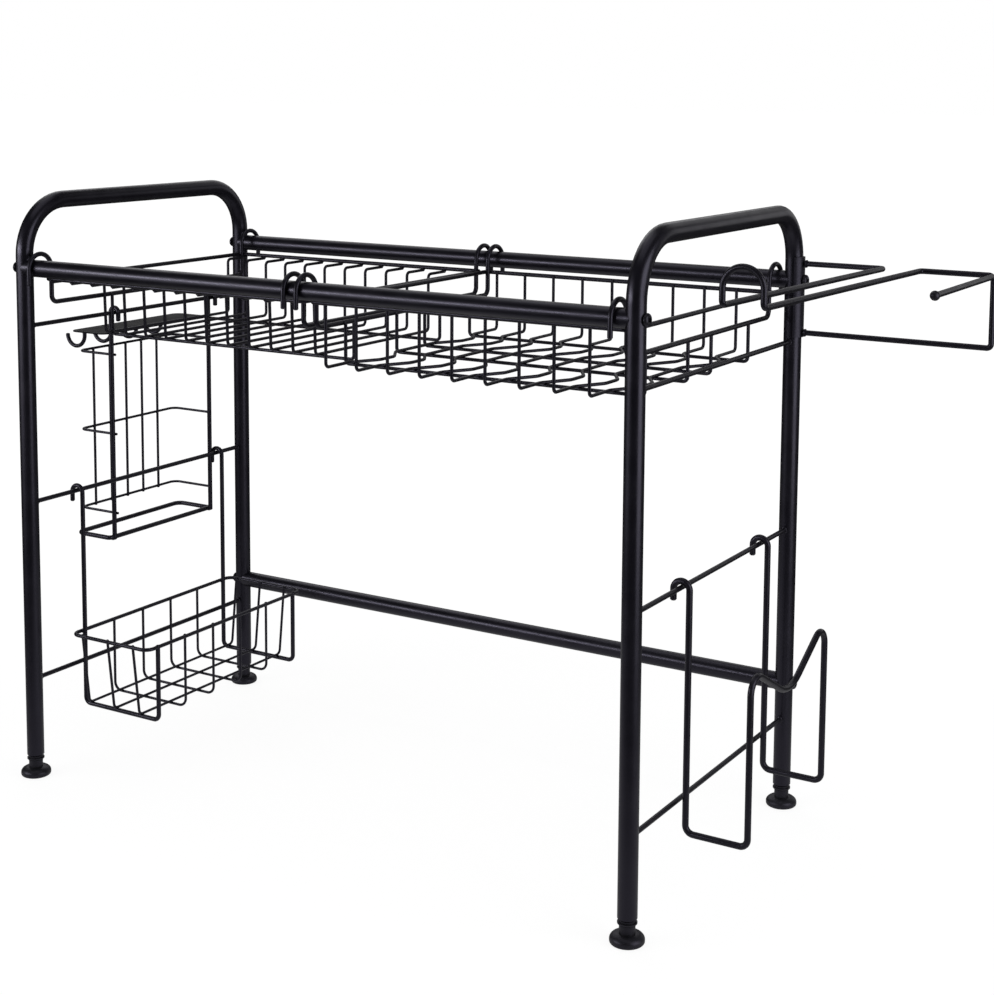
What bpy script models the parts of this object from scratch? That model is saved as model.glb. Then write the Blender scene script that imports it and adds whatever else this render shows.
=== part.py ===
"""Over sink dish rack.

Two bent tube side frames, joined by two rails and a rear bar, carry hung wire
baskets, racks and holders. Lengths are in metres. X runs along the sink, -Y is
the front and +Z is up. The origin is on the floor, under the middle of the
whole rack with everything that hangs on it.
"""

from math import acos, ceil, cos, pi, radians, sin, tan

import bmesh
import bpy
from mathutils import Matrix, Vector

# Frame
POST_SPACING_X = 0.634
POST_SPACING_Y = 0.312
TUBE_RADIUS = 0.008
TUBE_WALL = 0.0012
ARCH_HEIGHT = 0.549
ARCH_BENDS = {"left": (0.050, 0.048), "right": (0.050, 0.042)}
RAIL_BELOW_ARCH = 0.061
REAR_BAR_HEIGHT = 0.117
ROD_RADIUS = 0.00215
TOP_ROD_BELOW_RAIL = 0.055
MIDDLE_ROD_HEIGHTS = {"left": 0.265, "right": 0.261}
LOWER_ROD_HEIGHTS = {"left": 0.094, "right": 0.084}

# Clearances
FIT_GAP = 0.0003
CUT_OVERRUN = 0.004
SAME_POINT = 0.000001
WELD_SHARE = 0.2

# Bolts and their threaded inserts
BOLT_HEAD_RADIUS = 0.00525
BOLT_HEAD_HEIGHT = 0.0033
BOLT_HEAD_RIM = 0.0009
BOLT_SHANK_RADIUS = 0.003
BOLT_ENGAGEMENT = 0.012
SOCKET_RADIUS = 0.0023
SOCKET_DEPTH = 0.0018
INSERT_SETBACK = 0.001
INSERT_LENGTH = 0.015

# Levelling feet and the threaded plugs in the posts
PAD_RADIUS = 0.014
PAD_CHAMFER = 0.0022
PAD_EDGE_HEIGHT = 0.0035
NECK_RADIUS = 0.0065
NECK_START = 0.0085
POST_END_HEIGHT = 0.0155
STEM_RADIUS = 0.004
STEM_ENGAGEMENT = 0.020
PLUG_FLANGE = 0.002
PLUG_CHAMFER = 0.0008
PLUG_LENGTH = 0.022

# Both hung baskets
HANGER_RADIUS = 0.0022
RIM_RADIUS = 0.0020
GRID_RADIUS = 0.00145
CROSS_RADIUS = 0.0016
POST_CLEARANCE = 0.0029
BASKET_GAP = 0.0026
HOOK_PLAY = 0.0038
HOOK_LEAN = radians(80)
HOOK_TIP_DROP = 0.015
HANGER_DROP = 0.033
HANGER_BEND = 0.0065
RIM_DROP = 0.011
RIM_BEND = 0.006
GRID_BEND = 0.004

# Plate basket
PLATE_WIRES = 11
PLATE_FIRST_INSET = 0.0035
PLATE_LAST_INSET = 0.0385
PLATE_DEPTH = 0.0585
PLATE_LEDGE = 0.0688
PLATE_LEAN = 0.002
PLATE_REAR_LEDGE = 0.030
PLATE_CROSS_INSETS = (0.0095, 0.0338)

# Bowl basket
BOWL_WIRES = 9
BOWL_FIRST_INSET = 0.0103
BOWL_DEPTH = 0.055
BOWL_WAVE = 0.014
BOWL_WAVE_SHARES = ((-0.745, -0.25), (0.19, 0.675))
BOWL_SHOULDER_SHARES = (0.38, 0.69)
BOWL_WAVE_BEND = 0.0115
BOWL_CROSS_SHARES = (-0.71, -0.16, 0.16, 0.71)

# Utensil holder
UTENSIL_PLACE = 0.0348
UTENSIL_WIDTH = 0.1465
UTENSIL_REACH = 0.052
UTENSIL_DROP = 0.2285
UTENSIL_LEG_RADIUS = 0.0023
UTENSIL_THIN_RADIUS = 0.0013
UTENSIL_TIP_DROP = 0.0085
UTENSIL_HOOK_PLAY = 0.0004
UTENSIL_LEG_TAIL = 0.0015
UTENSIL_RING_DROPS = (0.043, 0.123, 0.2035)
UTENSIL_RING_TAIL = 0.003
UTENSIL_RING_BEND = 0.008
UTENSIL_BASE_OVERHANG = 0.003
UTENSIL_BASE_NEAR_BEND = 0.004
UPRIGHTS = 5
UPRIGHT_PITCH = 0.0235
UPRIGHT_SHIFT = -0.0049

# Plate on top of the utensil holder and its J hooks
HOOK_PLATE_LENGTH = 0.162
HOOK_PLATE_SHIFT = 0.0003
HOOK_PLATE_REACH = 0.055
HOOK_PLATE_DROP = 0.022
HOOK_PLATE_THICKNESS = 0.0012
HOOK_PLATE_CORNER = 0.010
J_HOOKS = 4
J_HOOK_PITCH = 0.0377
J_HOOK_SHIFT = -0.0132
J_HOOK_WIRE_RADIUS = 0.0020
J_HOOK_BEND = 0.0115
J_HOOK_SHANK_REACH = 0.044
J_HOOK_SHANK = 0.004
J_HOOK_TIP = 0.0005

# Sponge basket
SPONGE_PLACE = 0.010
SPONGE_HANGER_SPACING = 0.208
SPONGE_REACH = 0.1005
SPONGE_DROP = 0.2115
SPONGE_RIM_DROP = 0.1395
SPONGE_RIM_OVERHANG = 0.0145
SPONGE_RIM_BEND = 0.009
SPONGE_LEG_RADIUS = 0.0022
SPONGE_RIM_RADIUS = 0.0018
SPONGE_THIN_RADIUS = 0.0013
SPONGE_TIP_DROP = 0.0115
SPONGE_HOOK_PLAY = 0.0022
SPONGE_LEG_BEND = 0.006
SPONGE_CROSS_WIRES = 4
SPONGE_CROSS_PITCH = 0.0417
SPONGE_CROSS_BEND = 0.008
SPONGE_LONG_WIRES = 3
SPONGE_LONG_FIRST = 0.015
SPONGE_LONG_PITCH = 0.0323
SPONGE_LONG_BEND = 0.005
SPONGE_LONG_OVERHANG = 0.004

# Board rack
BOARD_PLACE = 0.0122
BOARD_WIDTH = 0.1605
BOARD_REACH = 0.0615
BOARD_DROP = 0.2035
BOARD_TOP_DROP = 0.0575
BOARD_DIP_DROP = 0.101
BOARD_WIRE_RADIUS = 0.00275
BOARD_TIP_DROP = 0.0115
BOARD_HOOK_PLAY = 0.0022
BOARD_BEND = 0.007
BOARD_TOP_BEND = 0.013
BOARD_DIP_BEND = 0.045

# Roll and glass holder on the rear right post
SLEEVE_WALL = 0.0015
SLEEVE_ABOVE = 0.021
SLEEVE_BELOW = 0.051
SLEEVE_HALF_ANGLE = radians(70)
HOLDER_WIRE_RADIUS = 0.0025
HOLDER_REACH = 0.1785
HOLDER_DEPTH = 0.309
HOLDER_UPPER_RISE = 0.015
HOLDER_LOWER_DROP = 0.047
HOLDER_BEND = 0.004
SLOT_START = 0.083
SLOT_WIDTH = 0.0325
SLOT_LEAN = 0.015
HOOP_RISE = 0.029
ROLL_ROD_LENGTH = 0.155
BALL_RADIUS = 0.004
BALL_ENGAGEMENT = 0.0035
ROLL_ROD_INSET = HOLDER_BEND * (1 - cos(pi / 4))

# Facets
CHORD_SAG = 0.0005
WIRE_BEVEL_RESOLUTION = 1
TUBE_BEVEL_RESOLUTION = 6
TUBE_SIDES = 4 + 2 * TUBE_BEVEL_RESOLUTION
CUTTER_SIDES = 24
BOLT_SIDES = 10
SOCKET_SIDES = 6
FOOT_SIDES = 16
DOME_STEPS = 2
BALL_STEPS = 6
SMOOTH_ANGLE = radians(65)

# Finishes: colour, roughness, metallic
BLACK_COAT = ((0.012, 0.011, 0.014), 0.42, 0.15)
BLACK_STEEL = ((0.015, 0.015, 0.017), 0.35, 0.6)
BLACK_PLASTIC = ((0.010, 0.010, 0.011), 0.55, 0.0)
BRIGHT_STEEL = ((0.55, 0.55, 0.56), 0.35, 1.0)

# Places worked out from the sizes above
HALF_X = POST_SPACING_X / 2
HALF_Y = POST_SPACING_Y / 2
RAIL_HEIGHT = ARCH_HEIGHT - RAIL_BELOW_ARCH
TOP_ROD_HEIGHT = RAIL_HEIGHT - TOP_ROD_BELOW_RAIL
BORE_RADIUS = TUBE_RADIUS - TUBE_WALL
BOLT_HOLE_RADIUS = BOLT_SHANK_RADIUS + FIT_GAP
LEFTMOST = -HALF_X - J_HOOK_SHANK_REACH - 2 * J_HOOK_BEND - J_HOOK_WIRE_RADIUS
RIGHTMOST = HALF_X + HOLDER_REACH + HOLDER_WIRE_RADIUS


def touch(radius_a, radius_b):
    """Distance between the centre lines of two wires that are welded together."""
    return (radius_a + radius_b) * (1 - WELD_SHARE)


def clear_scene():
    for thing in list(bpy.data.objects):
        bpy.data.objects.remove(thing)


def new_object(name, data):
    thing = bpy.data.objects.new(name, data)
    bpy.context.scene.collection.objects.link(thing)
    return thing


def as_mesh(thing):
    """The plain mesh object that a curve or a modified mesh evaluates to."""
    graph = bpy.context.evaluated_depsgraph_get()
    mesh = bpy.data.meshes.new_from_object(thing.evaluated_get(graph))
    result = new_object(thing.name, mesh)
    bpy.data.objects.remove(thing)
    return result


def bent_path(corners, closed):
    """Points along straight runs joined by arcs; each corner is a place and its bend radius."""
    places = [Vector(place) for place, bend in corners]
    path = []
    for index, (place, bend) in enumerate(corners):
        here = places[index]
        at_end = not closed and index in (0, len(corners) - 1)
        if at_end or bend == 0:
            points = [here]
        else:
            back = (places[index - 1] - here).normalized()
            ahead = (places[(index + 1) % len(places)] - here).normalized()
            points = arc_points(here, back, ahead, bend)
        for point in points:
            if not path or (point - path[-1]).length > SAME_POINT:
                path.append(point)
    if closed and (path[0] - path[-1]).length <= SAME_POINT:
        path.pop()
    return path


def arc_points(corner, back, ahead, bend):
    """Arc that rounds a corner, in as few chords as keep the sag small."""
    turn = pi - back.angle(ahead)
    cut = bend * tan(turn / 2)
    centre = corner + (back + ahead).normalized() * (bend / cos(turn / 2))
    spoke = corner + back * cut - centre
    axis = spoke.cross(corner + ahead * cut - centre).normalized()
    widest = 2 * acos(1 - min(CHORD_SAG / bend, 1))
    steps = max(1, ceil(turn / widest))
    return [centre + Matrix.Rotation(turn * i / steps, 3, axis) @ spoke for i in range(steps + 1)]


def rod_along(corners, radius, closed=False, resolution=WIRE_BEVEL_RESOLUTION):
    """Solid round wire or bar bent through the corners."""
    path = bent_path(corners, closed)
    curve = bpy.data.curves.new("wire", "CURVE")
    curve.dimensions = "3D"
    curve.bevel_depth = radius
    curve.bevel_resolution = resolution
    curve.use_fill_caps = True
    spline = curve.splines.new("POLY")
    spline.points.add(len(path) - 1)
    for point, place in zip(spline.points, path):
        point.co = (*place, 1)
    spline.use_cyclic_u = closed
    return as_mesh(new_object("wire", curve))


def combine(base, others, operation):
    """Join or cut the base with all the others in one exact Boolean, and use them up."""
    helpers = bpy.data.collections.new("helpers")
    for other in others:
        helpers.objects.link(other)
        other.hide_render = True
        other.display_type = "WIRE"
    boolean = base.modifiers.new(operation.lower(), "BOOLEAN")
    boolean.operation = operation
    boolean.operand_type = "COLLECTION"
    boolean.collection = helpers
    boolean.solver = "EXACT"
    result = as_mesh(base)
    for other in others:
        bpy.data.objects.remove(other)
    bpy.data.collections.remove(helpers)
    return result


def welded(wires):
    return combine(wires[0], wires[1:], "UNION")


def turned(profile, sides, ring=False):
    """Solid turned about Z from (radius, height) points; a ring profile closes on itself."""
    shape = bmesh.new()
    verts = [shape.verts.new((radius, 0, height)) for radius, height in profile]
    edges = [shape.edges.new(pair) for pair in zip(verts, verts[1:])]
    if ring:
        edges.append(shape.edges.new((verts[-1], verts[0])))
    bmesh.ops.spin(
        shape, geom=verts + edges, cent=(0, 0, 0), axis=(0, 0, 1),
        angle=2 * pi, steps=sides, use_merge=True, use_duplicate=False)
    bmesh.ops.remove_doubles(shape, verts=shape.verts, dist=SAME_POINT)
    bmesh.ops.recalc_face_normals(shape, faces=shape.faces)
    mesh = bpy.data.meshes.new("turned")
    shape.to_mesh(mesh)
    shape.free()
    return new_object("turned", mesh)


def pipe(outer, inner, bottom, top, sides):
    return turned([(inner, bottom), (outer, bottom), (outer, top), (inner, top)], sides, ring=True)


def cylinder(radius, bottom, top, sides):
    return turned([(0, bottom), (radius, bottom), (radius, top), (0, top)], sides)


def prism(outline, bottom, top):
    shape = bmesh.new()
    face = shape.faces.new([shape.verts.new((x, y, bottom)) for x, y in outline])
    grown = bmesh.ops.extrude_face_region(shape, geom=[face])
    upper = [item for item in grown["geom"] if isinstance(item, bmesh.types.BMVert)]
    bmesh.ops.translate(shape, verts=upper, vec=(0, 0, top - bottom))
    bmesh.ops.recalc_face_normals(shape, faces=shape.faces)
    mesh = bpy.data.meshes.new("prism")
    shape.to_mesh(mesh)
    shape.free()
    return new_object("prism", mesh)


def reshape(thing, matrix):
    """Move the mesh itself, so that the object's origin stays where its seat is."""
    thing.data.transform(matrix)
    thing.data.update()
    return thing


def along_x(thing, centre=(0, 0, 0)):
    return reshape(thing, Matrix.Translation(centre) @ Matrix.Rotation(pi / 2, 4, "Y"))


def finished(thing, name, finish, parent, place):
    """Name, paint, shade and place a piece."""
    colour, roughness, metallic = finish
    thing.name = name
    thing.data.name = name
    material = bpy.data.materials.new(name)
    material.use_nodes = True
    shader = material.node_tree.nodes["Principled BSDF"]
    shader.inputs["Base Color"].default_value = (*colour, 1)
    shader.inputs["Roughness"].default_value = roughness
    shader.inputs["Metallic"].default_value = metallic
    thing.data.materials.clear()
    thing.data.materials.append(material)
    thing.data.shade_smooth()
    thing.data.set_sharp_from_angle(angle=SMOOTH_ANGLE)
    thing.parent = parent
    thing.location = place
    return thing


# Frame pieces

def side_frame(bends, bolt_places):
    """Tube bent into an arch and two posts, with a bolt hole through both walls at each place."""
    foot_end = POST_END_HEIGHT + PLUG_FLANGE + FIT_GAP
    front_bend, rear_bend = bends
    arch = [((0, -HALF_Y, ARCH_HEIGHT), front_bend), ((0, HALF_Y, ARCH_HEIGHT), rear_bend)]
    outside = [((0, -HALF_Y, foot_end), 0), *arch, ((0, HALF_Y, foot_end), 0)]
    open_end = foot_end - CUT_OVERRUN
    inside = [((0, -HALF_Y, open_end), 0), *arch, ((0, HALF_Y, open_end), 0)]
    tube = rod_along(outside, TUBE_RADIUS, resolution=TUBE_BEVEL_RESOLUTION)
    hollow = rod_along(inside, BORE_RADIUS, resolution=TUBE_BEVEL_RESOLUTION)
    tube = combine(tube, [hollow], "DIFFERENCE")
    reach = TUBE_RADIUS + CUT_OVERRUN
    drills = []
    for y, z in bolt_places:
        drill = cylinder(BOLT_HOLE_RADIUS, -reach, reach, BOLT_SIDES)
        drills.append(along_x(drill, (0, y, z)))
    return combine(tube, drills, "DIFFERENCE")


def cross_tube():
    """Tube from post to post, its ends cut to the round of the posts."""
    tube = along_x(pipe(TUBE_RADIUS, BORE_RADIUS, -HALF_X, HALF_X, TUBE_SIDES))
    reach = TUBE_RADIUS + CUT_OVERRUN
    cutters = []
    for side in (-1, 1):
        cutter = cylinder(TUBE_RADIUS + FIT_GAP, -reach, reach, CUTTER_SIDES)
        cutters.append(reshape(cutter, Matrix.Translation((side * HALF_X, 0, 0))))
    return combine(tube, cutters, "DIFFERENCE")


def side_rod():
    half = HALF_Y - TUBE_RADIUS - FIT_GAP
    return rod_along([((0, -half, 0), 0), ((0, half, 0), 0)], ROD_RADIUS)


def threaded_insert(side):
    """Plug inside a cross tube's end, bored for the bolt; its origin is on the post's axis."""
    near = TUBE_RADIUS + INSERT_SETBACK
    body = pipe(BORE_RADIUS - FIT_GAP, BOLT_HOLE_RADIUS, near, near + INSERT_LENGTH, BOLT_SIDES)
    return reshape(body, Matrix.Rotation(-side * pi / 2, 4, "Y"))


def bolt(side, seat):
    """Button-head bolt from outside through the post; the seat is the head's distance from its axis."""
    engaged = TUBE_RADIUS + INSERT_SETBACK + BOLT_ENGAGEMENT
    crown = BOLT_HEAD_HEIGHT - BOLT_HEAD_RIM
    dome = []
    for i in range(1, DOME_STEPS + 1):
        angle = pi / 2 * i / DOME_STEPS
        radius = SOCKET_RADIUS + FIT_GAP + (BOLT_HEAD_RADIUS - SOCKET_RADIUS - FIT_GAP) * cos(angle)
        dome.append((radius, seat + BOLT_HEAD_RIM + crown * sin(angle)))
    profile = [
        (0, -engaged), (BOLT_SHANK_RADIUS, -engaged), (BOLT_SHANK_RADIUS, seat),
        (BOLT_HEAD_RADIUS, seat), (BOLT_HEAD_RADIUS, seat + BOLT_HEAD_RIM),
        *dome, (0, seat + BOLT_HEAD_HEIGHT)]
    body = turned(profile, BOLT_SIDES)
    top = seat + BOLT_HEAD_HEIGHT
    socket = cylinder(SOCKET_RADIUS, top - SOCKET_DEPTH, top + CUT_OVERRUN, SOCKET_SIDES)
    body = combine(body, [socket], "DIFFERENCE")
    return reshape(body, Matrix.Rotation(side * pi / 2, 4, "Y"))


def levelling_foot():
    """Domed pad with a neck under the post's plug and a stem inside it."""
    shoulder = POST_END_HEIGHT - FIT_GAP
    dome = []
    for i in range(1, DOME_STEPS + 1):
        angle = pi / 2 * i / DOME_STEPS
        radius = NECK_RADIUS + (PAD_RADIUS - NECK_RADIUS) * cos(angle)
        dome.append((radius, PAD_EDGE_HEIGHT + (NECK_START - PAD_EDGE_HEIGHT) * sin(angle)))
    profile = [
        (0, 0), (PAD_RADIUS - PAD_CHAMFER, 0), (PAD_RADIUS, PAD_CHAMFER),
        (PAD_RADIUS, PAD_EDGE_HEIGHT), *dome, (NECK_RADIUS, shoulder),
        (STEM_RADIUS, shoulder), (STEM_RADIUS, POST_END_HEIGHT + STEM_ENGAGEMENT),
        (0, POST_END_HEIGHT + STEM_ENGAGEMENT)]
    return turned(profile, FOOT_SIDES)


def leg_plug():
    """Threaded plug: a flange under the post's end and a bored body inside it."""
    flange_top = POST_END_HEIGHT + PLUG_FLANGE
    bore = STEM_RADIUS + FIT_GAP
    body = BORE_RADIUS - FIT_GAP
    profile = [
        (bore, POST_END_HEIGHT), (TUBE_RADIUS - PLUG_CHAMFER, POST_END_HEIGHT),
        (TUBE_RADIUS, POST_END_HEIGHT + PLUG_CHAMFER), (TUBE_RADIUS, flange_top),
        (body, flange_top), (body, flange_top + PLUG_LENGTH), (bore, flange_top + PLUG_LENGTH)]
    return turned(profile, TUBE_SIDES, ring=True)


# Hung baskets, built about the middle of each at rail height

RIM_TOUCH = touch(HANGER_RADIUS, RIM_RADIUS)
OUTER_HANGER_X = HALF_X - TUBE_RADIUS - POST_CLEARANCE - RIM_RADIUS - RIM_TOUCH
INNER_HANGER_X = BASKET_GAP / 2 + RIM_RADIUS + RIM_TOUCH
BASKET_X = (OUTER_HANGER_X + INNER_HANGER_X) / 2
HALF_SPAN = (OUTER_HANGER_X - INNER_HANGER_X) / 2
HOOK_RADIUS = TUBE_RADIUS + HOOK_PLAY + HANGER_RADIUS
HOOK_SLACK = HOOK_PLAY - FIT_GAP
HOOK_Y = HALF_Y - HOOK_SLACK * sin(HOOK_LEAN)
HOOK_TOP = HOOK_RADIUS - HOOK_SLACK * cos(HOOK_LEAN)
LEG_Y = HOOK_Y - HOOK_RADIUS
RIM_Y = LEG_Y + RIM_TOUCH


def basket_hanger(x):
    """Wire that hooks over both rails and runs under the basket's side."""
    tip_y = HOOK_Y + HOOK_RADIUS
    half = [
        ((x, tip_y, -HOOK_TIP_DROP), 0), ((x, tip_y, HOOK_TOP), HOOK_RADIUS),
        ((x, LEG_Y, HOOK_TOP), HOOK_RADIUS), ((x, LEG_Y, -HANGER_DROP), HANGER_BEND)]
    front = [((x, -y, z), bend) for (x, y, z), bend in half]
    return rod_along(front + half[::-1], HANGER_RADIUS)


def basket_rim():
    x = HALF_SPAN + RIM_TOUCH
    signs = ((-1, -1), (1, -1), (1, 1), (-1, 1))
    corners = [((sx * x, sy * RIM_Y, -RIM_DROP), RIM_BEND) for sx, sy in signs]
    return rod_along(corners, RIM_RADIUS, closed=True)


def basket_cross_wire(y, floor):
    """Wire under the floor wires, turned up at both ends to the hangers."""
    x = HALF_SPAN - touch(HANGER_RADIUS, CROSS_RADIUS)
    z = floor - touch(GRID_RADIUS, CROSS_RADIUS)
    corners = [
        ((-x, y, -HANGER_DROP), 0), ((-x, y, z), GRID_BEND),
        ((x, y, z), GRID_BEND), ((x, y, -HANGER_DROP), 0)]
    return rod_along(corners, CROSS_RADIUS)


def plate_wire(x):
    """Front ledge, a trough for plate edges, and a narrower rear ledge."""
    top = -RIM_DROP - touch(RIM_RADIUS, GRID_RADIUS)
    floor = -RIM_DROP - PLATE_DEPTH
    front = -RIM_Y + PLATE_LEDGE
    rear = RIM_Y - PLATE_REAR_LEDGE
    corners = [
        ((x, -RIM_Y, top), 0), ((x, front, top), GRID_BEND),
        ((x, front + PLATE_LEAN, floor), GRID_BEND), ((x, rear, floor), GRID_BEND),
        ((x, rear, top), GRID_BEND), ((x, RIM_Y, top), 0)]
    return rod_along(corners, GRID_RADIUS)


def plate_basket():
    wires = [basket_rim(), basket_hanger(-HALF_SPAN), basket_hanger(HALF_SPAN)]
    pitch = (2 * HALF_SPAN - PLATE_FIRST_INSET - PLATE_LAST_INSET) / (PLATE_WIRES - 1)
    for i in range(PLATE_WIRES):
        wires.append(plate_wire(-HALF_SPAN + PLATE_FIRST_INSET + i * pitch))
    floor = -RIM_DROP - PLATE_DEPTH
    front = -RIM_Y + PLATE_LEDGE + PLATE_LEAN + PLATE_CROSS_INSETS[0]
    rear = RIM_Y - PLATE_REAR_LEDGE - PLATE_CROSS_INSETS[1]
    wires += [basket_cross_wire(front, floor), basket_cross_wire(rear, floor)]
    return welded(wires)


def bowl_wire(x):
    """Wire down from one rim, wavy across the floor and up to the other rim."""
    y = RIM_Y - touch(RIM_RADIUS, GRID_RADIUS)
    floor = -RIM_DROP - BOWL_DEPTH
    corners = [((x, -y, -RIM_DROP), 0), ((x, -y, floor), GRID_BEND)]
    for start, end in BOWL_WAVE_SHARES:
        near, far = (start + (end - start) * share for share in BOWL_SHOULDER_SHARES)
        outline = ((start, 0), (near, BOWL_WAVE), (far, BOWL_WAVE), (end, 0))
        corners += [((x + wave, share * RIM_Y, floor), BOWL_WAVE_BEND) for share, wave in outline]
    corners += [((x, y, floor), GRID_BEND), ((x, y, -RIM_DROP), 0)]
    return rod_along(corners, GRID_RADIUS)


def bowl_basket():
    wires = [basket_rim(), basket_hanger(-HALF_SPAN), basket_hanger(HALF_SPAN)]
    pitch = (2 * HALF_SPAN - BOWL_FIRST_INSET) / BOWL_WIRES
    for i in range(BOWL_WIRES):
        wires.append(bowl_wire(-HALF_SPAN + BOWL_FIRST_INSET + i * pitch))
    for share in BOWL_CROSS_SHARES:
        wires.append(basket_cross_wire(share * RIM_Y, -RIM_DROP - BOWL_DEPTH))
    return welded(wires)


# Holders on the side rods, built about a place on the rod's axis

def rod_hook(side, y, wire_radius, play, tip_drop):
    """Corners of a hook over a rod, from its tip; the leg goes down on the given side."""
    bend = rod_hook_radius(wire_radius, play)
    x = side * bend
    top = bend - (play - FIT_GAP)
    return [((-x, y, -tip_drop), 0), ((-x, y, top), bend), ((x, y, top), bend)]


def rod_hook_radius(wire_radius, play):
    return ROD_RADIUS + play + wire_radius


def utensil_holder():
    """Two hooked legs outside the frame, a thick base ring and a cage of thin wires."""
    leg_x = rod_hook_radius(UTENSIL_LEG_RADIUS, UTENSIL_HOOK_PLAY)
    half = UTENSIL_WIDTH / 2
    wires = []
    for y in (-half, half):
        hook = rod_hook(-1, y, UTENSIL_LEG_RADIUS, UTENSIL_HOOK_PLAY, UTENSIL_TIP_DROP)
        end = ((-leg_x, y, -UTENSIL_DROP - UTENSIL_LEG_TAIL), 0)
        wires.append(rod_along(hook + [end], UTENSIL_LEG_RADIUS))
    near = -leg_x - touch(UTENSIL_LEG_RADIUS, UTENSIL_LEG_RADIUS)
    y = half + UTENSIL_BASE_OVERHANG
    base = [
        ((near, -y, -UTENSIL_DROP), UTENSIL_BASE_NEAR_BEND),
        ((near, y, -UTENSIL_DROP), UTENSIL_BASE_NEAR_BEND),
        ((-UTENSIL_REACH, y, -UTENSIL_DROP), UTENSIL_RING_BEND),
        ((-UTENSIL_REACH, -y, -UTENSIL_DROP), UTENSIL_RING_BEND)]
    wires.append(rod_along(base, UTENSIL_LEG_RADIUS, closed=True))
    y = half - touch(UTENSIL_LEG_RADIUS, UTENSIL_THIN_RADIUS)
    tail = -leg_x + UTENSIL_RING_TAIL
    for drop in UTENSIL_RING_DROPS:
        ring = [
            ((tail, -y, -drop), 0), ((-UTENSIL_REACH, -y, -drop), UTENSIL_RING_BEND),
            ((-UTENSIL_REACH, y, -drop), UTENSIL_RING_BEND), ((tail, y, -drop), 0)]
        wires.append(rod_along(ring, UTENSIL_THIN_RADIUS))
    x = -UTENSIL_REACH + touch(UTENSIL_THIN_RADIUS, UTENSIL_THIN_RADIUS)
    top = -UTENSIL_RING_DROPS[0] + UTENSIL_LEG_TAIL
    bottom = -UTENSIL_RING_DROPS[-1] - UTENSIL_LEG_TAIL
    for i in range(UPRIGHTS):
        y = UPRIGHT_SHIFT + (i - (UPRIGHTS - 1) / 2) * UPRIGHT_PITCH
        wires.append(rod_along([((x, y, top), 0), ((x, y, bottom), 0)], UTENSIL_THIN_RADIUS))
    return welded(wires)


def hook_plate():
    """Flat plate with round corners beside the utensil holder's legs."""
    near = rod_hook_radius(UTENSIL_LEG_RADIUS, UTENSIL_HOOK_PLAY) + UTENSIL_LEG_RADIUS + FIT_GAP
    half = HOOK_PLATE_LENGTH / 2
    corners = [
        ((-near, HOOK_PLATE_SHIFT - half, 0), HOOK_PLATE_CORNER),
        ((-HOOK_PLATE_REACH, HOOK_PLATE_SHIFT - half, 0), HOOK_PLATE_CORNER),
        ((-HOOK_PLATE_REACH, HOOK_PLATE_SHIFT + half, 0), HOOK_PLATE_CORNER),
        ((-near, HOOK_PLATE_SHIFT + half, 0), HOOK_PLATE_CORNER)]
    outline = [(point.x, point.y) for point in bent_path(corners, True)]
    bottom = -HOOK_PLATE_DROP - HOOK_PLATE_THICKNESS / 2
    return prism(outline, bottom, bottom + HOOK_PLATE_THICKNESS)


def j_hook():
    """Hook under the plate, open to the outside."""
    top = -HOOK_PLATE_DROP - HOOK_PLATE_THICKNESS / 2 - FIT_GAP
    low = top - J_HOOK_SHANK - J_HOOK_BEND
    near = -J_HOOK_SHANK_REACH
    far = near - 2 * J_HOOK_BEND
    tip = low + J_HOOK_BEND + J_HOOK_TIP
    corners = [
        ((near, 0, top), 0), ((near, 0, low), J_HOOK_BEND),
        ((far, 0, low), J_HOOK_BEND), ((far, 0, tip), 0)]
    return rod_along(corners, J_HOOK_WIRE_RADIUS)


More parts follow.
